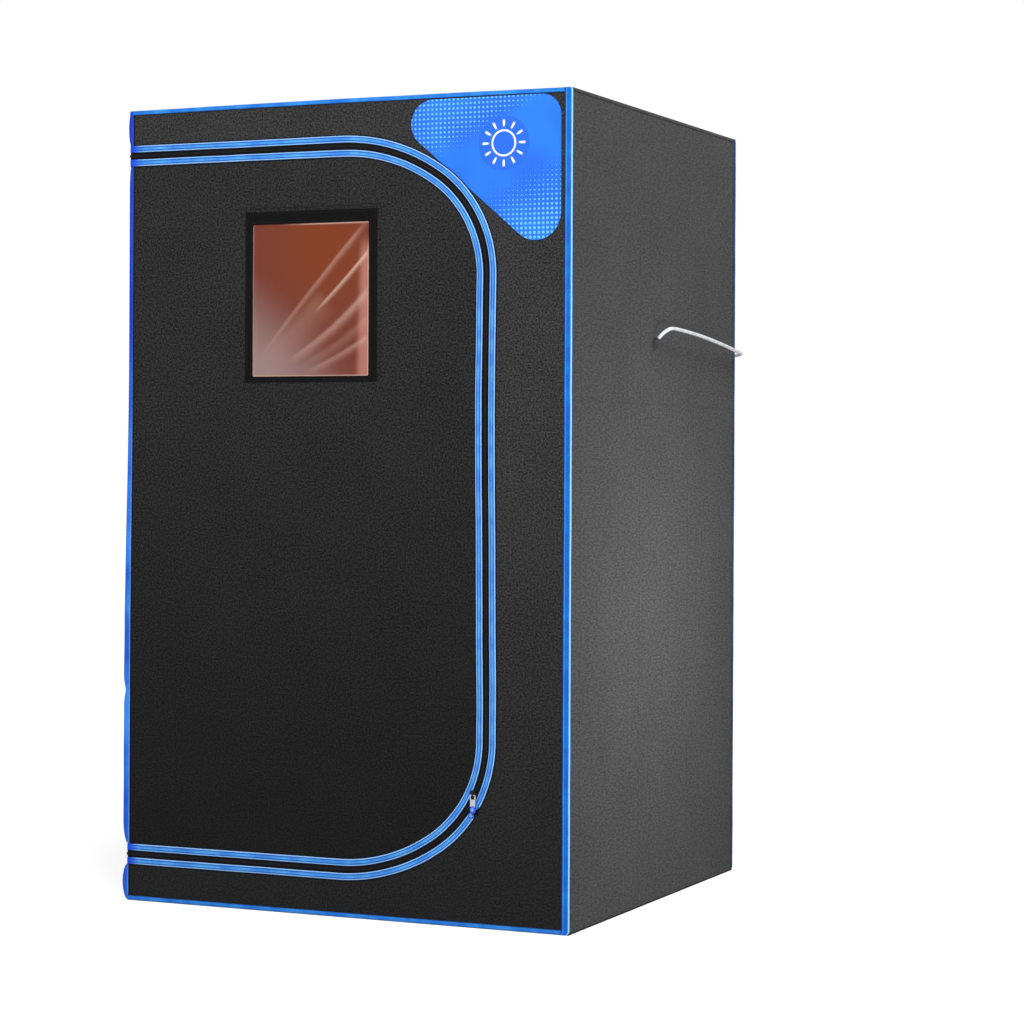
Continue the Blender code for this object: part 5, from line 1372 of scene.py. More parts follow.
@dataclass
class Bindings:
    """Blue edging tape sewn over the edges of the front and the rear, and the padded piping at the left."""

    left: float = 5.6 * MM
    right: float = 16 * MM
    top: float = 8.8 * MM
    bottom: float = 8.5 * MM
    rear: float = 10 * MM
    thick: float = 1.4 * MM
    radius: float = 2.2 * MM
    tuck: float = 0.4257

    def corner(self, face: float, fold: float) -> Array:
        """Section of a tape folded over an edge, with the edge at the origin.

        The first coordinate runs from the face's middle towards the edge, and the second into the depth.
        The shown side goes along the face, round the edge and back along the fold.
        """
        thick, radius = self.thick, self.radius
        turn = np.linspace(0, QUARTER, 7)
        t = np.linspace(0, 1, 9)[:-1]
        run = np.stack([-face + t * (face - radius), -0.5 * MM * np.sin(t * math.pi) ** 0.5], -1)
        bend = np.stack([-radius + radius * np.sin(turn), radius - radius * np.cos(turn)], -1)
        back = np.stack([0.4 * MM * np.sin(t[1:] * math.pi), radius + t[1:] * (fold - radius)], -1)
        in_x, in_y = -thick - radius * 0.3, thick + radius * 0.3
        inner = [[0, fold], [-thick, fold], [-thick, in_y], [in_x, thick], [-face, thick]]
        return np.concatenate([run, bend, back, inner])

    def upright(
        self, name: str, x: float, y: float, face: float, fold: float, finish: Finish, seed: int
    ) -> Thing:
        """A tape over an upright edge. The signs of x and y say which edge."""
        z = np.linspace(0.0006, TENT.height - 0.0004, 260)
        line = np.stack([0 * z + x, 0 * z + y, z], -1)
        line[:, 0] += np.sign(x) * 0.35 * MM * relief(z, z * 0, seed, (0.05, 0.4))
        for end, radius in ((z, 7 * MM), (TENT.height - z, 2 * MM)):
            gone = np.clip(radius - end, 0, radius)
            line[:, 0] -= np.sign(x) * (radius - np.sqrt(radius**2 - gone**2))
        rings = sweep(line, self.corner(face, fold), (np.sign(x), 0, 0), (0, -np.sign(y), 0))
        return tube(name, rings, finish)

    def level(
        self, name: str, y: float, z: float, face: float, fold: float, finish: Finish, seed: int
    ) -> Thing:
        """A tape over a level edge of the front or rear."""
        half = TENT.width / 2 - 0.4 * MM
        sign = 1 if z > 1 else -1
        x = np.linspace(-half, half - 2.6 * MM, 200)
        line = np.stack([x, 0 * x + y, 0 * x + z], -1)
        line[:, 2] += (0.25 * MM * relief(x, x * 0, seed, (0.05, 0.4)) - 0.3 * MM) * sign
        if z > 1:
            line[:, 2] += 1.8 * MM * (1 - (x / half) ** 2)
        return tube(name, sweep(line, self.corner(face, fold), (0, 0, sign), (0, -np.sign(y), 0)), finish)

    def welt(self, name: str, sign: int) -> Thing:
        """The narrow cloth welt over the seam between the roof and a side wall."""
        y = np.linspace(-0.4545, 0.4500, 60)
        line = np.stack([0 * y + sign * 0.4858, y, 0 * y + 1.5962], -1)
        rings = sweep(line, oval(2.2 * MM, 6.8 * MM, 16, 3.0), *frames_along(line))
        return fit(tube(name, rings, Finishes.SIDE_CLOTH), "tent", "grey_fabric")

    def piping(
        self, name: str, low: float, high: float, reach_out: float, cover: float, tuck: bool = False
    ) -> Thing:
        """A padded stretch of the left edge that swells outwards between its ends.

        The swell is a rounded hump over the stretch, less a narrow dip at the tuck. Over the door's long
        stretch it grows from nothing above chest height to its full reach below.

        Args:
            name: the object's name.
            low: height of its lower end.
            high: height of its upper end.
            reach_out: how far it swells beyond the tent's side.
            cover: how far it covers the front.
            tuck: whether it is the long stretch, with a tuck.

        Returns:
            The object.
        """
        z = np.linspace(low, high, max(40, int((high - low) / 0.004)))
        t = np.minimum(z - low, high - z) / min(0.045, (high - low) / 2)
        hump = np.sqrt(np.clip(1 - (1 - np.clip(t, 0, 1)) ** 2, 0, 1))
        outside, inside = reach_out + 0 * z, cover + 0 * z
        if tuck:
            full = 1 - smooth_step((z - 0.48) / 0.62)
            hump = hump * (1 - 0.3 * full * np.exp(-(((z - self.tuck) / 0.015) ** 2)))
            outside, inside = reach_out * full + 0.3 * MM, cover + 3.4 * MM * (1 - full)
        outside = outside * hump - 4.5 * MM * (1 - hump)
        outside = outside * (1 + 0.08 * relief(z, z * 0, 5, (0.09, 0.4)))
        wide = outside + inside
        thick = 3.0 * MM + 0.3 * np.clip(wide, 0, 12 * MM)
        deep = -TENT.depth / 2 - 0.9 * MM + thick / 2
        middle = np.stack([-TENT.width / 2 + inside - wide / 2, deep, z], -1)
        sized = oval(1.0, 1.0, 22, 2.6)[None] * np.stack([wide, thick], -1)[:, None]
        axes = ((1, 0, 0), (0, -1, 0))
        roll = tube(name, sweep(middle, sized, *axes), Finishes.PIPING)
        points = np.empty(len(roll.data.vertices) * 3, np.float32)
        roll.data.vertices.foreach_get("co", points)
        # A deeper blue on the piping above chest height.
        tag(roll, turned=0.85 * smooth_step((points[2::3] - 0.86) / 0.3))
        # A navy strip along the piping's inner side: partly its seam, partly painted shadow on the cloth.
        line = np.stack([-TENT.width / 2 + inside + 0.7 * MM, 0 * z - TENT.face - 0.5 * MM, z], -1)
        seam = tube(f"{name}_seam", sweep(line, oval(2.6 * MM, 1.1 * MM, 8), *axes), Finishes.SEAM_AND_SHADE)
        return joined(name, [roll, seam])

    def build(self) -> list[Thing]:
        """Makes the tapes and the piping."""
        x, y, top, low = TENT.width / 2, TENT.depth / 2, TENT.height, 0.0006
        edge, side, back = Finishes.EDGE_TAPE, Finishes.SIDE_TAPE, Finishes.REAR_TAPE
        front = [
            self.level("front_top_tape", -y, top, self.top, 12 * MM, edge, 31),
            self.level("front_bottom_tape", -y, low, self.bottom, 6 * MM, edge, 32),
            self.upright("front_right_tape", x, -y - 0.5 * MM, self.right, 4.5 * MM, side, 33),
            self.piping("upper_piping", LINE.top + 19 * MM, top - 0.5 * MM, 2.8 * MM, 8.2 * MM),
            self.piping("lower_piping", 1.0 * MM, LINE.bottom - 19 * MM, 10.4 * MM, 3.5 * MM),
        ]
        rear = [
            self.level("rear_top_tape", y, top, self.rear, 10 * MM, back, 34),
            self.level("rear_bottom_tape", y, low, self.bottom, 10 * MM, back, 35),
            self.upright("rear_left_tape", -x, y, self.rear, 10 * MM, back, 36),
            self.upright("rear_right_tape", x, y, self.rear, 10 * MM, back, 37),
        ]
        welts = [self.welt("right_roof_welt", 1), self.welt("left_roof_welt", -1)]
        for pieces, replaced in ((front, "front_binding"), (rear, "rear_binding")):
            for piece in pieces:
                fit(piece, "tent", "blue_tape", replaced)
        ends = (LINE.bottom + 20 * MM, LINE.top - 20 * MM)
        hinge = self.piping("door_piping", *ends, 8.6 * MM, 5.4 * MM, True)
        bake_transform(hinge)
        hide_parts("door_binding")
        return [*front, *rear, hinge, *welts]


@dataclass
class Zip:
    """The zip round the door: tapes, coils with their teeth, and the blue trims that cover the seams."""

    trim_start: float = 7.2 * MM
    trim_reach: float = 20.3 * MM
    tooth: float = 3.0 * MM
    break_from: float = math.radians(-30.6)
    break_to: float = math.radians(-32.6)

    def bow(self, z: Array) -> Array:
        """How far the zip strays sideways from its line: in at chest height, out above the lower corner."""
        return -3.6 * MM * np.exp(-(((z - 1.0) / 0.24) ** 2)) + 2.0 * MM * np.exp(-(((z - 0.40) / 0.15) ** 2))

    def strip(self, name: str, walked: Array, near: Any, far: Any, back: float, height: Array, across: Array,
              finish: Finish, sharp: float) -> Thing:
        """A band along the closing line between two offsets.

        Args:
            name: the object's name.
            walked: distances along the line.
            near: the inner offset, one for all or one for each distance.
            far: the outer offset.
            back: how far the band's back lies in front of the wall.
            height: how far its front stands off its back, by distance and by share across.
            across: shares across the band, from 0 to 1.
            finish: its material.
            sharp: angle in degrees above which an edge stays sharp.

        Returns:
            The band.
        """
        near, far = (np.broadcast_to(v, walked.shape) for v in (near, far))
        offset = near[:, None] + (far - near)[:, None] * across
        base, away = LINE.at(walked)
        base = base + self.bow(base[:, 1])[:, None] * np.array([1.0, 0.0])
        flat = base[:, None] + away[:, None] * offset[..., None]
        uv = np.stack(np.broadcast_arrays(walked[:, None], np.abs(offset - near[:, None])), -1)
        return plate(name, flat, -TENT.face - back, height, finish, uv=uv, sharp=sharp)

    def trim(self, name: str, sign: int, start: float, end: float, tips: tuple[float, float]) -> Thing:
        """A ribbed trim: its section is a low arch with three cords, and a tip narrows over its length."""
        walked = np.linspace(start, end, max(60, int((end - start) / 0.0045)))
        if tips != (0.0, 0.0):
            extra = [start + np.linspace(0, 0.02, 24), end - np.linspace(0, 0.02, 24)]
            walked = np.unique(np.concatenate([walked, *extra]))
        narrow = np.ones_like(walked)
        for tip, gone in ((tips[0], walked - start), (tips[1], end - walked)):
            if tip > 0:
                share = np.clip(gone / tip, 0, 1)
                narrow = np.minimum(narrow, np.sqrt(np.clip(1 - (1 - share) ** 2, 0.003, 1)))
        across = np.linspace(0, 1, 25)
        ribs = 0.55 * MM * np.abs(np.sin(across * math.pi * 4)) ** 0.7
        arch = (0.9 * MM + ribs) * np.sin(np.clip(across, 0.02, 0.98) * math.pi) ** 0.22
        wave = 0.35 * MM * relief(walked, walked * 0, 41 + sign, (0.05, 0.35))
        middle = sign * (self.trim_start + self.trim_reach) / 2 + wave
        half = sign * (self.trim_reach - self.trim_start) / 2 * narrow
        height = arch[None] * (0.35 + 0.65 * narrow[:, None])
        near, far = middle - half, middle + half
        trim = self.strip(name, walked, near, far, 1.25 * MM, height, across, Finishes.TRIM, 65)
        ends = np.minimum(walked, LINE.length() - walked)
        # A deeper blue towards the trim's ends.
        deeper_ends = np.repeat(1 - smooth_step((ends - 5 * MM) / (26 * MM)), len(across))
        return tag(trim, turned=np.concatenate([deeper_ends] * 2))

    def coil(self, name: str, sign: int) -> Thing:
        """A row of teeth: an arch whose height and reach rise and fall once for each tooth."""
        walked = np.arange(0.0, LINE.length(), self.tooth / 4)
        across = np.linspace(0, 1, 7)
        phase = np.sin(TAU * walked / self.tooth + (0 if sign > 0 else math.pi))
        arch = np.sin(np.clip(across, 0.04, 0.96) * math.pi) ** 0.6
        height = (1.1 * MM + 0.5 * MM * phase)[:, None] * arch + 0.3 * MM
        far = sign * (2.7 * MM + 0.3 * MM * phase)
        return self.strip(name, walked, sign * 0.3 * MM, far, 0.9 * MM, height, across, Finishes.ZIP_COIL, 80)

    def tape(self, name: str, sign: int) -> Thing:
        """The flat woven tape that carries the coil, with a cord along its edge."""
        walked, across = np.linspace(0.0, LINE.length(), 900), np.linspace(0, 1, 22)
        height = 0.75 * MM + 0.5 * MM * np.exp(-(((across - 0.19) / 0.03) ** 2))
        near, far = sign * 0.4 * MM, sign * 21.9 * MM
        return self.strip(name, walked, near, far, 0.2 * MM, height[None], across, Finishes.ZIP_TAPE, 70)

    def seam(self, name: str, sign: int) -> Thing:
        """Navy strips along both edges of a trim: partly the tape's folded edge, partly painted shadow beside
        the trim.
        """
        walked, across = np.linspace(0.0, LINE.length(), 700), np.linspace(0, 1, 6)
        height = 0.55 * MM * np.sin(np.clip(across, 0.1, 0.9) * math.pi) ** 0.5
        finish, back = Finishes.SEAM_AND_SHADE, 0.85 * MM
        return joined(name, [
            self.strip(name, walked, sign * near, sign * far, back, height[None], across, finish, 70)
            for near, far in ((5.1 * MM, 8.0 * MM), (19.6 * MM, 22.6 * MM))
        ])

    def build(self) -> list[Thing]:
        """Makes both halves. The wall's trim is in two lengths that meet at the end of the lower corner."""
        length = LINE.length()
        tight = length - LINE.marks()[2]
        cut, again = (tight - LINE.side_radius * turn for turn in (self.break_from, self.break_to))
        made = []
        for side, sign, body in (("wall", 1, "tent"), ("door", -1, "door")):
            spans = [(0.0, length, (0.0, 0.0))]
            if sign > 0:
                spans = [(0.0, cut, (0.0, 0.014)), (again, length, (0.007, 0.0))]
            blacks = [
                self.tape(f"{side}_zip_tape", sign),
                self.coil(f"{side}_zip_coil", sign),
                self.seam(f"{side}_zip_welts", sign),
            ]
            trims = [self.trim(f"{side}_zip_trim_{k}", sign, *span) for k, span in enumerate(spans)]
            made += [fit(piece, body, "zip_black", f"zip_tape_{side}") for piece in blacks]
            made += [fit(piece, body, "blue_tape", f"zip_trim_{side}") for piece in trims]
        return made + self.ends(again)

    def ends(self, again: float) -> list[Thing]:
        """The black knobs that stop the zip at the left edge, and the stud at the lower trim's end, whose
        paler disc is a painted highlight.
        """
        side, front = LINE.left + 1.4 * MM, -TENT.face
        flat = LINE.at(np.array([again + 5 * MM]), (self.trim_start + self.trim_reach) / 2)[0][0]
        flat[0] += self.bow(flat[1])
        made = [
            fit(stud(f"zip_stop_{k}", (side, front - 0.9 * MM, z), 3.6 * MM, 2.4 * MM, Finishes.ZIP_COIL),
                "tent", "zip_black")
            for k, z in enumerate((LINE.bottom, LINE.top))
        ]
        for name, off, radius, rise, finish in (
            ("trim_stud_rim", 2.4 * MM, 6.4 * MM, 0.9 * MM, Finishes.BLUE_TIP),
            ("trim_stud", 2.9 * MM, 4.0 * MM, 1.0 * MM, Finishes.BLUE_STUD_HIGHLIGHT),
        ):
            dot = stud(name, (flat[0], front - off, flat[1]), radius, rise, finish)
            made.append(fit(dot, "tent", "blue_plastic"))
        return made


@dataclass
class Slider:
    """The zip's slider with its bail, the nickel pull tab and its blue moulded tip."""

    middle: tuple[float, float, float] = (0.289014, -0.4629, 0.254797)
    tab_y: float = -0.465963
    lean: float = math.radians(25.0)
    tip_half: float = 7.6 * MM

    def placed(self, shape: Array) -> Array:
        """Turns a shape from the slider's own axes, where the zip runs along the third, into place."""
        c, s = math.cos(self.lean), math.sin(self.lean)
        x, y, z = shape[..., 0], shape[..., 1], shape[..., 2]
        return np.stack([x * c - z * s, y, x * s + z * c], -1) + np.array(self.middle)

    def body(self) -> Thing:
        """Two wings with a waist: a superellipse whose width swells at the top and narrows at the tail."""
        t = np.linspace(-1, 1, 41)
        ends = np.clip(1 - np.abs(t) ** 6, 0.0005, 1) ** 0.5
        width = 8.6 + 1.9 * smooth_step((t + 0.1) / 0.8) - 1.2 * np.exp(-(((t + 0.15) / 0.35) ** 2))
        sized = oval(1, 1, 28, 3.5)[None] * np.stack([width * MM * ends, 3.3 * MM * ends**0.6], -1)[:, None]
        line = np.stack([0 * t, 0 * t, t * 9.8 * MM], -1)
        rings = self.placed(sweep(line, sized, (1, 0, 0), (0, 1, 0)))
        return tube("slider_body", rings, Finishes.SLIDER_METAL)

    def bail(self) -> Thing:
        """The arch that holds the tab: a wire whose line is a half superellipse over the body."""
        turn = np.linspace(0, math.pi, 31)
        along = -4.8 * MM * np.sign(np.cos(turn)) * np.abs(np.cos(turn)) ** 0.55
        lift = 1.0 * MM + 4.3 * MM * np.sin(turn) ** 0.45
        line = self.placed(np.stack([0 * turn, -lift, along], -1))
        axes = frames_along(line, (math.cos(self.lean), 0, math.sin(self.lean)))
        rings = sweep(line, oval(1.5 * MM, 2.2 * MM, 12, 2.6), *axes)
        return tube("slider_bail", rings, Finishes.SLIDER_METAL)

    def tip(self, low: float) -> Thing:
        """The soft blue end of the tab: a full oval that thins towards the tab."""
        t = np.linspace(-1, 1, 31)
        ends = np.sqrt(np.clip(1 - np.abs(t) ** 2.6, 0.0004, 1))
        line = np.stack([0 * t + self.middle[0], 0 * t + self.tab_y, low + (t + 1) * self.tip_half], -1)
        sized = oval(1, 1, 28, 2.3)[None] * np.stack([12.4 * MM * ends, 5.4 * MM * ends], -1)[:, None]
        return tube("tab_tip", sweep(line, sized, (1, 0, 0), (0, 1, 0)), Finishes.BLUE_TIP)

    def build(self, nodes: dict[str, Thing]) -> list[Thing]:
        """Makes the slider and the tip, and finishes the tab's own node."""
        paint(nodes, Finishes.TAB_METAL, "zip_puller")
        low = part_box("puller_tip")[0].z
        at = (self.middle[0], self.tab_y - 2.5 * MM, low + self.tip_half)
        return [
            fit(self.body(), "slider", "zip_black", "zip_slider"),
            fit(self.bail(), "slider", "zip_black", "zip_slider"),
            fit(self.tip(low), "puller", "blue_plastic", "puller_tip"),
            # The paler stud on the tip: a painted highlight.
            fit(stud("tip_stud", at, 3.4 * MM, 1.1 * MM, Finishes.BLUE_STUD_HIGHLIGHT), "puller", "blue_plastic"),
        ]


def paint(nodes: dict[str, Thing], finish: Finish, *names: str) -> None:
    """Gives CAD nodes a finish."""
    for name in names:
        mesh = nodes[name].data
        mesh.materials.clear()
        mesh.materials.append(finish.material())


@dataclass
class Window:
    """The window in the door: creased clear film under a sewn cloth frame."""

    left: float = -0.2005
    right: float = 0.0575
    low: float = 1.0590
    high: float = 1.3600
    lap: float = 5.5 * MM

    @staticmethod
    def span() -> tuple[float, float, float, float]:
        """Left, right, lower and upper edge of the opening."""
        return Window.left, Window.right, Window.low, Window.high

    def round_it(self, left: float, right: float, low: float, high: float, radius: float = 0.0) -> Array:
        """An outline that lies that many millimetres outside the opening on each side."""
        sides = (self.left - left * MM, self.right + right * MM, self.low - low * MM, self.high + high * MM)
        return oblong(*sides, radius)

    def creases(self, a: Array, b: Array) -> Array:
        """Height of the creases by share across and up the opening.

        Each crease is a ridge along a slightly bent line: a bell curve of the distance to the line, wider on
        the lower side, times a swelling along it.
        """
        lines = (  # start across, up, end across, up, sag, half width, strength
            (-0.04, 0.02, 0.95, 0.98, 0.012, 0.012, 0.34),
            (0.00, 0.03, 0.60, 0.52, -0.012, 0.060, 0.16),
            (0.46, 0.36, 1.02, 0.835, -0.010, 0.009, 0.85),
            (0.22, 0.06, 1.02, 0.58, -0.045, 0.018, 0.46),
            (0.40, 0.06, 1.02, 0.40, -0.030, 0.020, 0.16),
            (0.42, 0.01, 1.02, 0.27, -0.015, 0.014, 0.34),
        )
        total = np.zeros_like(a)
        aspect = (self.high - self.low) / (self.right - self.left)
        for x0, y0, x1, y1, sag, half, strength in lines:
            dx, dy = x1 - x0, (y1 - y0) * aspect
            size = math.hypot(dx, dy)
            t = ((a - x0) * dx + (b - y0) * aspect * dy) / size**2
            off = ((a - x0) * -dy + (b - y0) * aspect * dx) / size - sag * np.sin(np.clip(t, 0, 1) * math.pi)
            swell = smooth_step(t / 0.3) * smooth_step((1.08 - t) / 0.2) * (0.5 + 0.5 * np.clip(t, 0, 1))
            width = np.where(off > 0, half, half * 2.2)
            total = np.maximum(total, strength * np.exp(-((off / width) ** 2)) * swell)
        return total

    def film(self) -> Thing:
        """The film, which fills the opening and laps the flap a little, with its haze, and its creases with
        painted highlights.
        """
        a, b = np.meshgrid(np.linspace(-0.021, 1.021, 190), np.linspace(-0.018, 1.018, 220), indexing="ij")
        wide, tall = self.right - self.left, self.high - self.low
        x, z = self.left + a * wide, self.low + b * tall
        inside = smooth_step(np.minimum(np.minimum(a, 1 - a), np.minimum(b, 1 - b)) / 0.05)
        crease = self.creases(a, b) * smooth_step((a + 0.02) / 0.03)
        slack = 0.7 * MM * relief(x, z, 61, (0.08, 0.3))
        front = -TENT.face - 0.5 * MM + inside * (0.5 * MM - 1.6 * MM * crease + slack)
        outer = np.stack([x, front, z], -1)
        uv = np.stack([x, z], -1)
        film = shell("window_film_sheet", outer, outer + (0, 0.5 * MM, 0), uv, [Finishes.FILM], sharp=60)
        # Pale lines along the rims: painted highlights.
        rims = (
            smooth_step((b - 0.988) / 0.006) * smooth_step((a - 0.2) / 0.4),
            smooth_step((0.010 - b) / 0.008),
            smooth_step((a - 0.985) / 0.008) * smooth_step((0.9 - b) / 0.1),
            0.7 * smooth_step((0.008 - a) / 0.006),
        )
        shares = {
            "haze": smooth_step((0.80 - b - 0.72 * a) / 0.8) * (0.35 + 0.65 * smooth_step((0.95 - a) / 0.5)),
            "crease": np.maximum(crease, 0.8 * np.maximum.reduce(rims)),
            # A painted band of light at the right edge.
            "glow": smooth_step((a - 0.87 - 0.03 * b) / 0.075) * smooth_step((0.93 - b) / 0.15) * 0.85,
            "deep": np.exp(-(((a - 0.62) / 0.42) ** 2 + ((b - 0.86) / 0.42) ** 2)),
        }
        tag(film, **{name: np.concatenate([share.ravel()] * 2) for name, share in shares.items()})
        fit(film, "door", "window_film_plastic", "window_film")
        return film

    def frame(self) -> Thing:
        """The sewn frame: cloth strips round the opening, softly padded across their width."""
        opening = self.round_it(0, 0, 0, 0, 3 * MM)
        rim = self.round_it(17, 18, 11, 25, 2 * MM)
        centre = opening.mean(0)
        grid = radial(centre, opening, rim, rays(centre, [opening, rim], 300), 16)
        t = np.linspace(0, 1, 16)
        pad = 0.6 * MM + 1.1 * MM * np.sin(t * math.pi).clip(0) ** 0.5
        wave = 0.25 * MM * relief(grid[..., 0], grid[..., 1], 62, (0.03, 0.15))
        height = pad[None] + wave * np.sin(t * math.pi)
        back = -TENT.face - 1.15 * MM
        frame = plate("window_frame_cloth", grid, back, height, Finishes.FRAME_CLOTH, ring=True)
        return fit(frame, "door", "black_fabric", "window_frame")

    def seams(self) -> list[Thing]:
        """Two rows of stitches on the frame, and the faint second outline beside it, with three sides, whose
        thick black stitches are painted shade along a groove.
        """
        rows = (
            ("window_inner_stitches", self.round_it(4, 4, 4, 4)[[0, 1, 2, 3, 0]], 2.6, 0.7 * MM),
            ("window_outer_stitches", self.round_it(13.5, 14.5, 8, 21)[[0, 1, 2, 3, 0]], 2.75, 0.7 * MM),
            # Thick black stitches: painted shade along a groove.
            ("window_second_outline", self.round_it(6, 26, 6, 33)[[3, 2, 1]], 1.0, 1.5 * MM),
        )
        made = []
        for name, loop, lift, thick in rows:
            steps = np.linspace(0, len(loop) - 1, 400)
            flat = np.stack([np.interp(steps, np.arange(len(loop)), loop[:, k]) for k in (0, 1)], -1)
            line = np.insert(flat, 1, -TENT.face - lift * MM, 1)
            row = stitches(name, line, np.array([0, -1.0, 0]), 3.4 * MM, Finishes.THREAD, thick)
            made.append(fit(row, "door", "black_fabric"))
        return made

    def build(self) -> list[Thing]:
        """Makes the film, the frame and the seams."""
        return [self.film(), self.frame(), *self.seams()]


@dataclass
class Patch:
    """The blank label's place: a soft blue patch with rounded corners and a plain motif."""

    right: float = 0.4635
    top: float = 1.590
    width: float = 0.3155
    height: float = 0.277
    radii: tuple[float, float, float] = (0.046, 0.052, 0.041)

    def outline(self) -> Array:
        """The hull of three circles, one in each corner of a right triangle."""
        left_r, low_r, up_r = self.radii
        left = np.array([self.right - self.width + left_r, self.top - left_r])
        low = np.array([self.right - low_r, self.top - self.height + low_r])
        up = np.array([self.right - up_r, self.top - up_r])
        along = low - left
        slant = TAU + math.atan2(along[1], along[0]) - math.acos((left_r - low_r) / np.hypot(*along))
        arcs = [(left, left_r, QUARTER, slant), (low, low_r, slant, TAU), (up, up_r, 0, QUARTER)]
        return np.concatenate([at + radius * ways(np.linspace(*span, 22)) for at, radius, *span in arcs])

    def build(self) -> list[Thing]:
        """A domed sheet: rays from its middle to the outline, lower at the edge."""
        outline = self.outline()
        centre = np.array([self.right - 0.105, self.top - 0.095])
        angles = rays(centre, [outline], 240)
        share = np.linspace(0.004, 1, 26)
        flat = centre + (reach(centre, outline, angles)[:, None] * share)[..., None] * ways(angles)[:, None]
        wave = 0.3 * MM * relief(flat[..., 0], flat[..., 1], 71, (0.05, 0.2))
        lift = (0.8 * MM - wave) * smooth_step((1 - share) / 0.08) + 0.25 * MM
        patch = plate("blank_patch", flat, -TENT.face - 0.35 * MM, lift, Finishes.PATCH, ring=True)
        fit(patch, "tent", "blue_tape", "label_patch")
        return [patch]


@dataclass
class Quilts:
    """The heating panels and the foot mat: pads sewn through along a lattice, swollen between the seams."""

    inset: float = 1.5 * MM
    per_square: int = 10
    sewn: float = 0.30
    raised: float = 0.68
    frames: int = 20

    def pad(self, node_name: str, axis: int, sign: int, cell: float, finish: Finish) -> list[Thing]:
        """One panel with its seams and its bound edge.

        Args:
            node_name: the CAD node whose place it takes.
            axis: number of the coordinate square to it.
            sign: which way along that axis the room is.
            cell: side of a quilted square.
            finish: its cloth.

        Returns:
            The pad, its seams and its binding.
        """
        low, high = (np.array(corner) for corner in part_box(node_name))
        deep = (high - low)[axis]
        back = high[axis] if sign < 0 else low[axis]
        flat = [k for k in range(3) if k != axis]
        start, size = low[flat] + self.inset, (high - low)[flat] - 2 * self.inset
        squares = np.maximum(2, np.round(size / cell)).astype(int)
        shares = [np.linspace(0, 1, squares[k] * self.per_square + 1) for k in (0, 1)]
        grid = np.stack(np.meshgrid(*shares, indexing="ij"), -1)
        puff = np.abs(np.prod(np.sin(math.pi * grid * squares), -1))
        height = deep * (self.sewn + (self.raised - self.sewn) * puff**0.5)

        def placed(at: Array, off: Array | float) -> Array:
            """A point of the pad by its two coordinates and its distance from the wall."""
            return np.insert(at, axis, back + sign * (off + 0 * at[..., 0]), -1)

        uv = start + grid * size
        name = node_name.replace("_heater", "")
        pad = shell(f"{name}_quilt", placed(uv, height), placed(uv, 0.15 * MM), uv, [finish])
        pinned = np.concatenate([(puff < 1e-6).ravel(), np.ones(puff.size, bool)])
        self.swell(pad, pinned, 0.38 * deep)
        normal = np.eye(3)[axis] * sign
        rows = []
        lift = self.sewn * deep + 0.35 * MM
        for side, count in enumerate(squares):
            for k in range(1, count):
                run = np.full((200, 2), k / count)
                run[:, 1 - side] = np.linspace(0.01, 0.99, 200)
                line = placed(start + run * size, lift)
                rows.append(stitches(f"{name}_row", line, normal, 7 * MM, Finishes.QUILT_THREAD, 0.7 * MM, 4))
        seams = joined(f"{name}_quilt_seams", rows)
        edge = oblong(start[0], start[0] + size[0], start[1], start[1] + size[1], 8 * MM, 8)
        loop = placed(edge, deep * 0.5)
        axes = frames_along(loop, tuple(normal), ring=True)
        rings = sweep(loop, oval(2.6 * MM, deep * 0.94, 12, 3.0), *axes)
        rim = tube(f"{name}_quilt_binding", rings, Finishes.WEBBING, ring=True)
        fit(pad, "tent", "heater_cloth", node_name)
        return [pad, fit(seams, "tent", "heater_cloth"), fit(rim, "tent", "black_fabric")]

    def swell(self, pad: Thing, pinned: Array, cap: float) -> None:
        """Presses the pad outwards with Cloth, pinned where it is sewn, and keeps the result.

        A point moves at most about cap, since its way is bent by a hyperbolic tangent. One subdivision
        follows.
        """
        group = pad.vertex_groups.new(name="sewn")
        group.add(np.flatnonzero(pinned).tolist(), 1.0, "REPLACE")
        cloth = pad.modifiers.new("swell", "CLOTH")
        settings = cloth.settings
        settings.vertex_group_mass = "sewn"
        settings.use_pressure, settings.uniform_pressure_force = True, 4.0
        settings.effector_weights.gravity = 0.0
        settings.quality, settings.mass = 4, 0.05
        cloth.collision_settings.use_collision = False
        cloth.point_cache.frame_start, cloth.point_cache.frame_end = 1, self.frames
        scene = bpy.context.scene
        before = np.empty(len(pad.data.vertices) * 3, np.float32)
        pad.data.vertices.foreach_get("co", before)
        for frame in range(1, self.frames + 1):
            scene.frame_set(frame)
        after = before.copy()
        pad.evaluated_get(bpy.context.evaluated_depsgraph_get()).data.vertices.foreach_get("co", after)
        pad.modifiers.remove(cloth)
        pad.vertex_groups.remove(group)
        scene.frame_set(1)
        way = (after - before).reshape(-1, 3)
        size = np.linalg.norm(way, axis=1, keepdims=True)
        way *= np.where(size > 0, cap * np.tanh(size / cap) / np.maximum(size, 1e-9), 0)
        pad.data.vertices.foreach_set("co", before + way.ravel())
        LOG.info("%s swollen by up to %.1f mm", pad.name, float(np.linalg.norm(way, axis=1).max()) / MM)
        finer = pad.modifiers.new("finer", "SUBSURF")
        finer.levels = finer.render_levels = 1
        mesh = bpy.data.meshes.new_from_object(pad.evaluated_get(bpy.context.evaluated_depsgraph_get()))
        pad.modifiers.remove(finer)
        mesh.name, pad.data = pad.name, mesh

    def build(self) -> list[Thing]:
        """Makes the three panels and the mat."""
        panels = (("rear_heater", 1, -1), ("left_heater", 0, 1), ("right_heater", 0, -1))
        made = [piece for panel in panels for piece in self.pad(*panel, 105 * MM, Finishes.HEATER)]
        return made + self.pad("foot_heater", 2, 1, 70 * MM, Finishes.MAT)


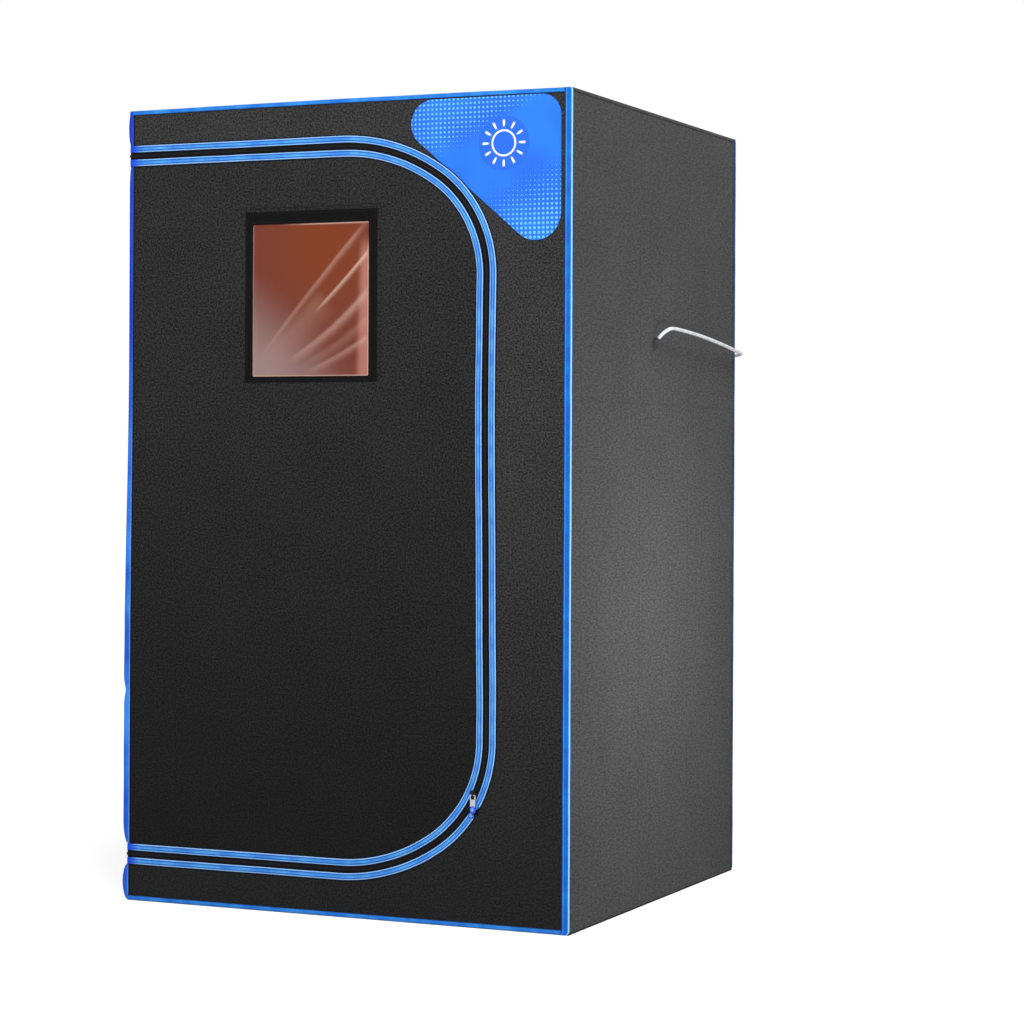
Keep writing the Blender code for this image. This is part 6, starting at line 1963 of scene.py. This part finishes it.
@dataclass
class Controller:
    """The lit figures and the marks on the controller's front, seen from inside the tent."""

    middle: float = -0.0255
    display: float = 1.1376
    figure: tuple[float, float, float] = (6.0, 7.0, 9.5)
    gap: float = 0.12

    def strokes(self, name: str, lines: list[tuple[float, ...]], at: tuple[float, float, float], thick: float,
                finish: Finish, body: str) -> Thing:
        """Short flat capsules between pairs of points: right and up in millimetres, seen from inside.

        Args:
            name: the object's name.
            lines: start and end of each stroke.
            at: where the point (0, 0) is.
            thick: width of a stroke.
            finish: its material.
            body: the body it rides on.

        Returns:
            The object.
        """
        flat = np.array(lines) * MM
        first, last = (np.stack([0 * flat[:, k], -flat[:, k], flat[:, k + 1]], -1) for k in (0, 2))
        way = last - first
        out = np.broadcast_to([-1.0, 0, 0], way.shape)
        side = np.cross(out, way / np.linalg.norm(way, axis=1, keepdims=True))
        moves = np.stack([way / 2, side * thick / 2, out * 0.12 * MM], -1)
        made = cluster(name, *bead(5, 6), moves, (first + last) / 2 + np.array(at), finish)
        return fit(made, body, "black_plastic")

    def figures(self, text: str) -> list[tuple[float, ...]]:
        """Strokes of seven-segment figures, spread evenly about the middle. A space leaves a gap."""
        ends = {"a": (0, 2, 1, 2), "b": (1, 2, 1, 1), "c": (1, 1, 1, 0), "d": (0, 0, 1, 0), "e": (0, 1, 0, 0),
                "f": (0, 2, 0, 1), "g": (0, 1, 1, 1)}
        lit = {"0": "abcdef", "3": "abcdg", "4": "bcfg", "5": "acdfg", " ": ""}
        wide, tall, pitch = self.figure
        strokes = []
        for place, figure in enumerate(text):
            x = -pitch * len(text) / 2 + (pitch - wide) / 2 + place * pitch
            for x0, y0, x1, y1 in (ends[segment] for segment in lit[figure]):
                dx, dy = (x1 - x0) * self.gap, (y1 - y0) * self.gap
                start = (x + (x0 + dx) * wide, (y0 + dy - 1) * tall)
                strokes.append((*start, x + (x1 - dx) * wide, (y1 - dy - 1) * tall))
        return strokes

    def ring(self, radius: float, start: float = 0, end: float = 360, count: int = 14) -> list[tuple]:
        """Strokes round a circle between two angles in degrees."""
        x, y = radius * ways(np.radians(np.linspace(start, end, count + 1))).T
        return list(zip(x[:-1], y[:-1], x[1:], y[1:]))

    def build(self) -> list[Thing]:
        """Makes the figures and one mark on each key."""
        at = (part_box("controller_display")[0].x - 0.12 * MM, self.middle, self.display)
        colon = [(-0.5, 2.4, 0.5, 2.4), (-0.5, -2.4, 0.5, -2.4)]
        lit = (("lit_figures", self.figures("45 30")), ("lit_colon", colon))
        made = [self.strokes(name, lines, at, 1.1 * MM, Finishes.DIGIT, "tent") for name, lines in lit]
        waves = [(x + 0.5 * math.sin(y * 2.2), y, x + 0.5 * math.sin((y + 0.8) * 2.2), y + 0.8)
                 for x in (-1.9, 0.0, 1.9) for y in (-2.4, -1.6, -0.8, 0.0, 0.8, 1.6)]
        marks = {
            "power": self.ring(2.6, 120, 420) + [(0, 0.6, 0, 3.4)],
            "timer": self.ring(2.9) + [(0, 0, 0, 2.0), (0, 0, 1.4, 0)],
            "heat": waves,
        }
        for name, lines in marks.items():
            low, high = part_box(f"{name}_button")
            at = (low.x - 0.06 * MM, (low.y + high.y) / 2, (low.z + high.z) / 2)
            made.append(self.strokes(f"{name}_mark", lines, at, 0.55 * MM, Finishes.MARK, f"{name}_key"))
        return made


@dataclass
class Inside:
    """What the tent holds: heating panels, their leads, the tubes and the controller."""

    def build(self, nodes: dict[str, Thing]) -> list[Thing]:
        """Makes the quilted panels and the controller's marks, and finishes the CAD nodes inside."""
        endings = {
            ("_connector",): Finishes.CONNECTOR,
            ("_upright", "_rail"): Finishes.TUBE,
            ("_heater_lead",): Finishes.LEAD_BLACK,
            ("controller_case",): Finishes.CASE,
            ("controller_display",): Finishes.DISPLAY,
            ("power_button", "timer_button", "heat_button"): Finishes.BUTTON,
            ("cord_gland",): Finishes.GLAND,
        }
        for ending, finish in endings.items():
            paint(nodes, finish, *[name for name in nodes if name.endswith(ending)])
        return Quilts().build() + Controller().build()


def main() -> None:
    """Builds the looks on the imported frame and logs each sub-assembly."""
    logging.basicConfig(level=logging.INFO, format="%(message)s")
    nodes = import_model()["nodes"]
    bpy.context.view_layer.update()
    Camera().build()
    for part in (MainsLead(), Walls(), Bindings(), Zip(), Window(), Patch()):
        LOG.info("%s: %d pieces", type(part).__name__, len(part.build()))
    for part in (Slider(), Inside()):
        LOG.info("%s: %d pieces", type(part).__name__, len(part.build(nodes)))
    Studio().build()


if __name__ == "__main__":
    main()
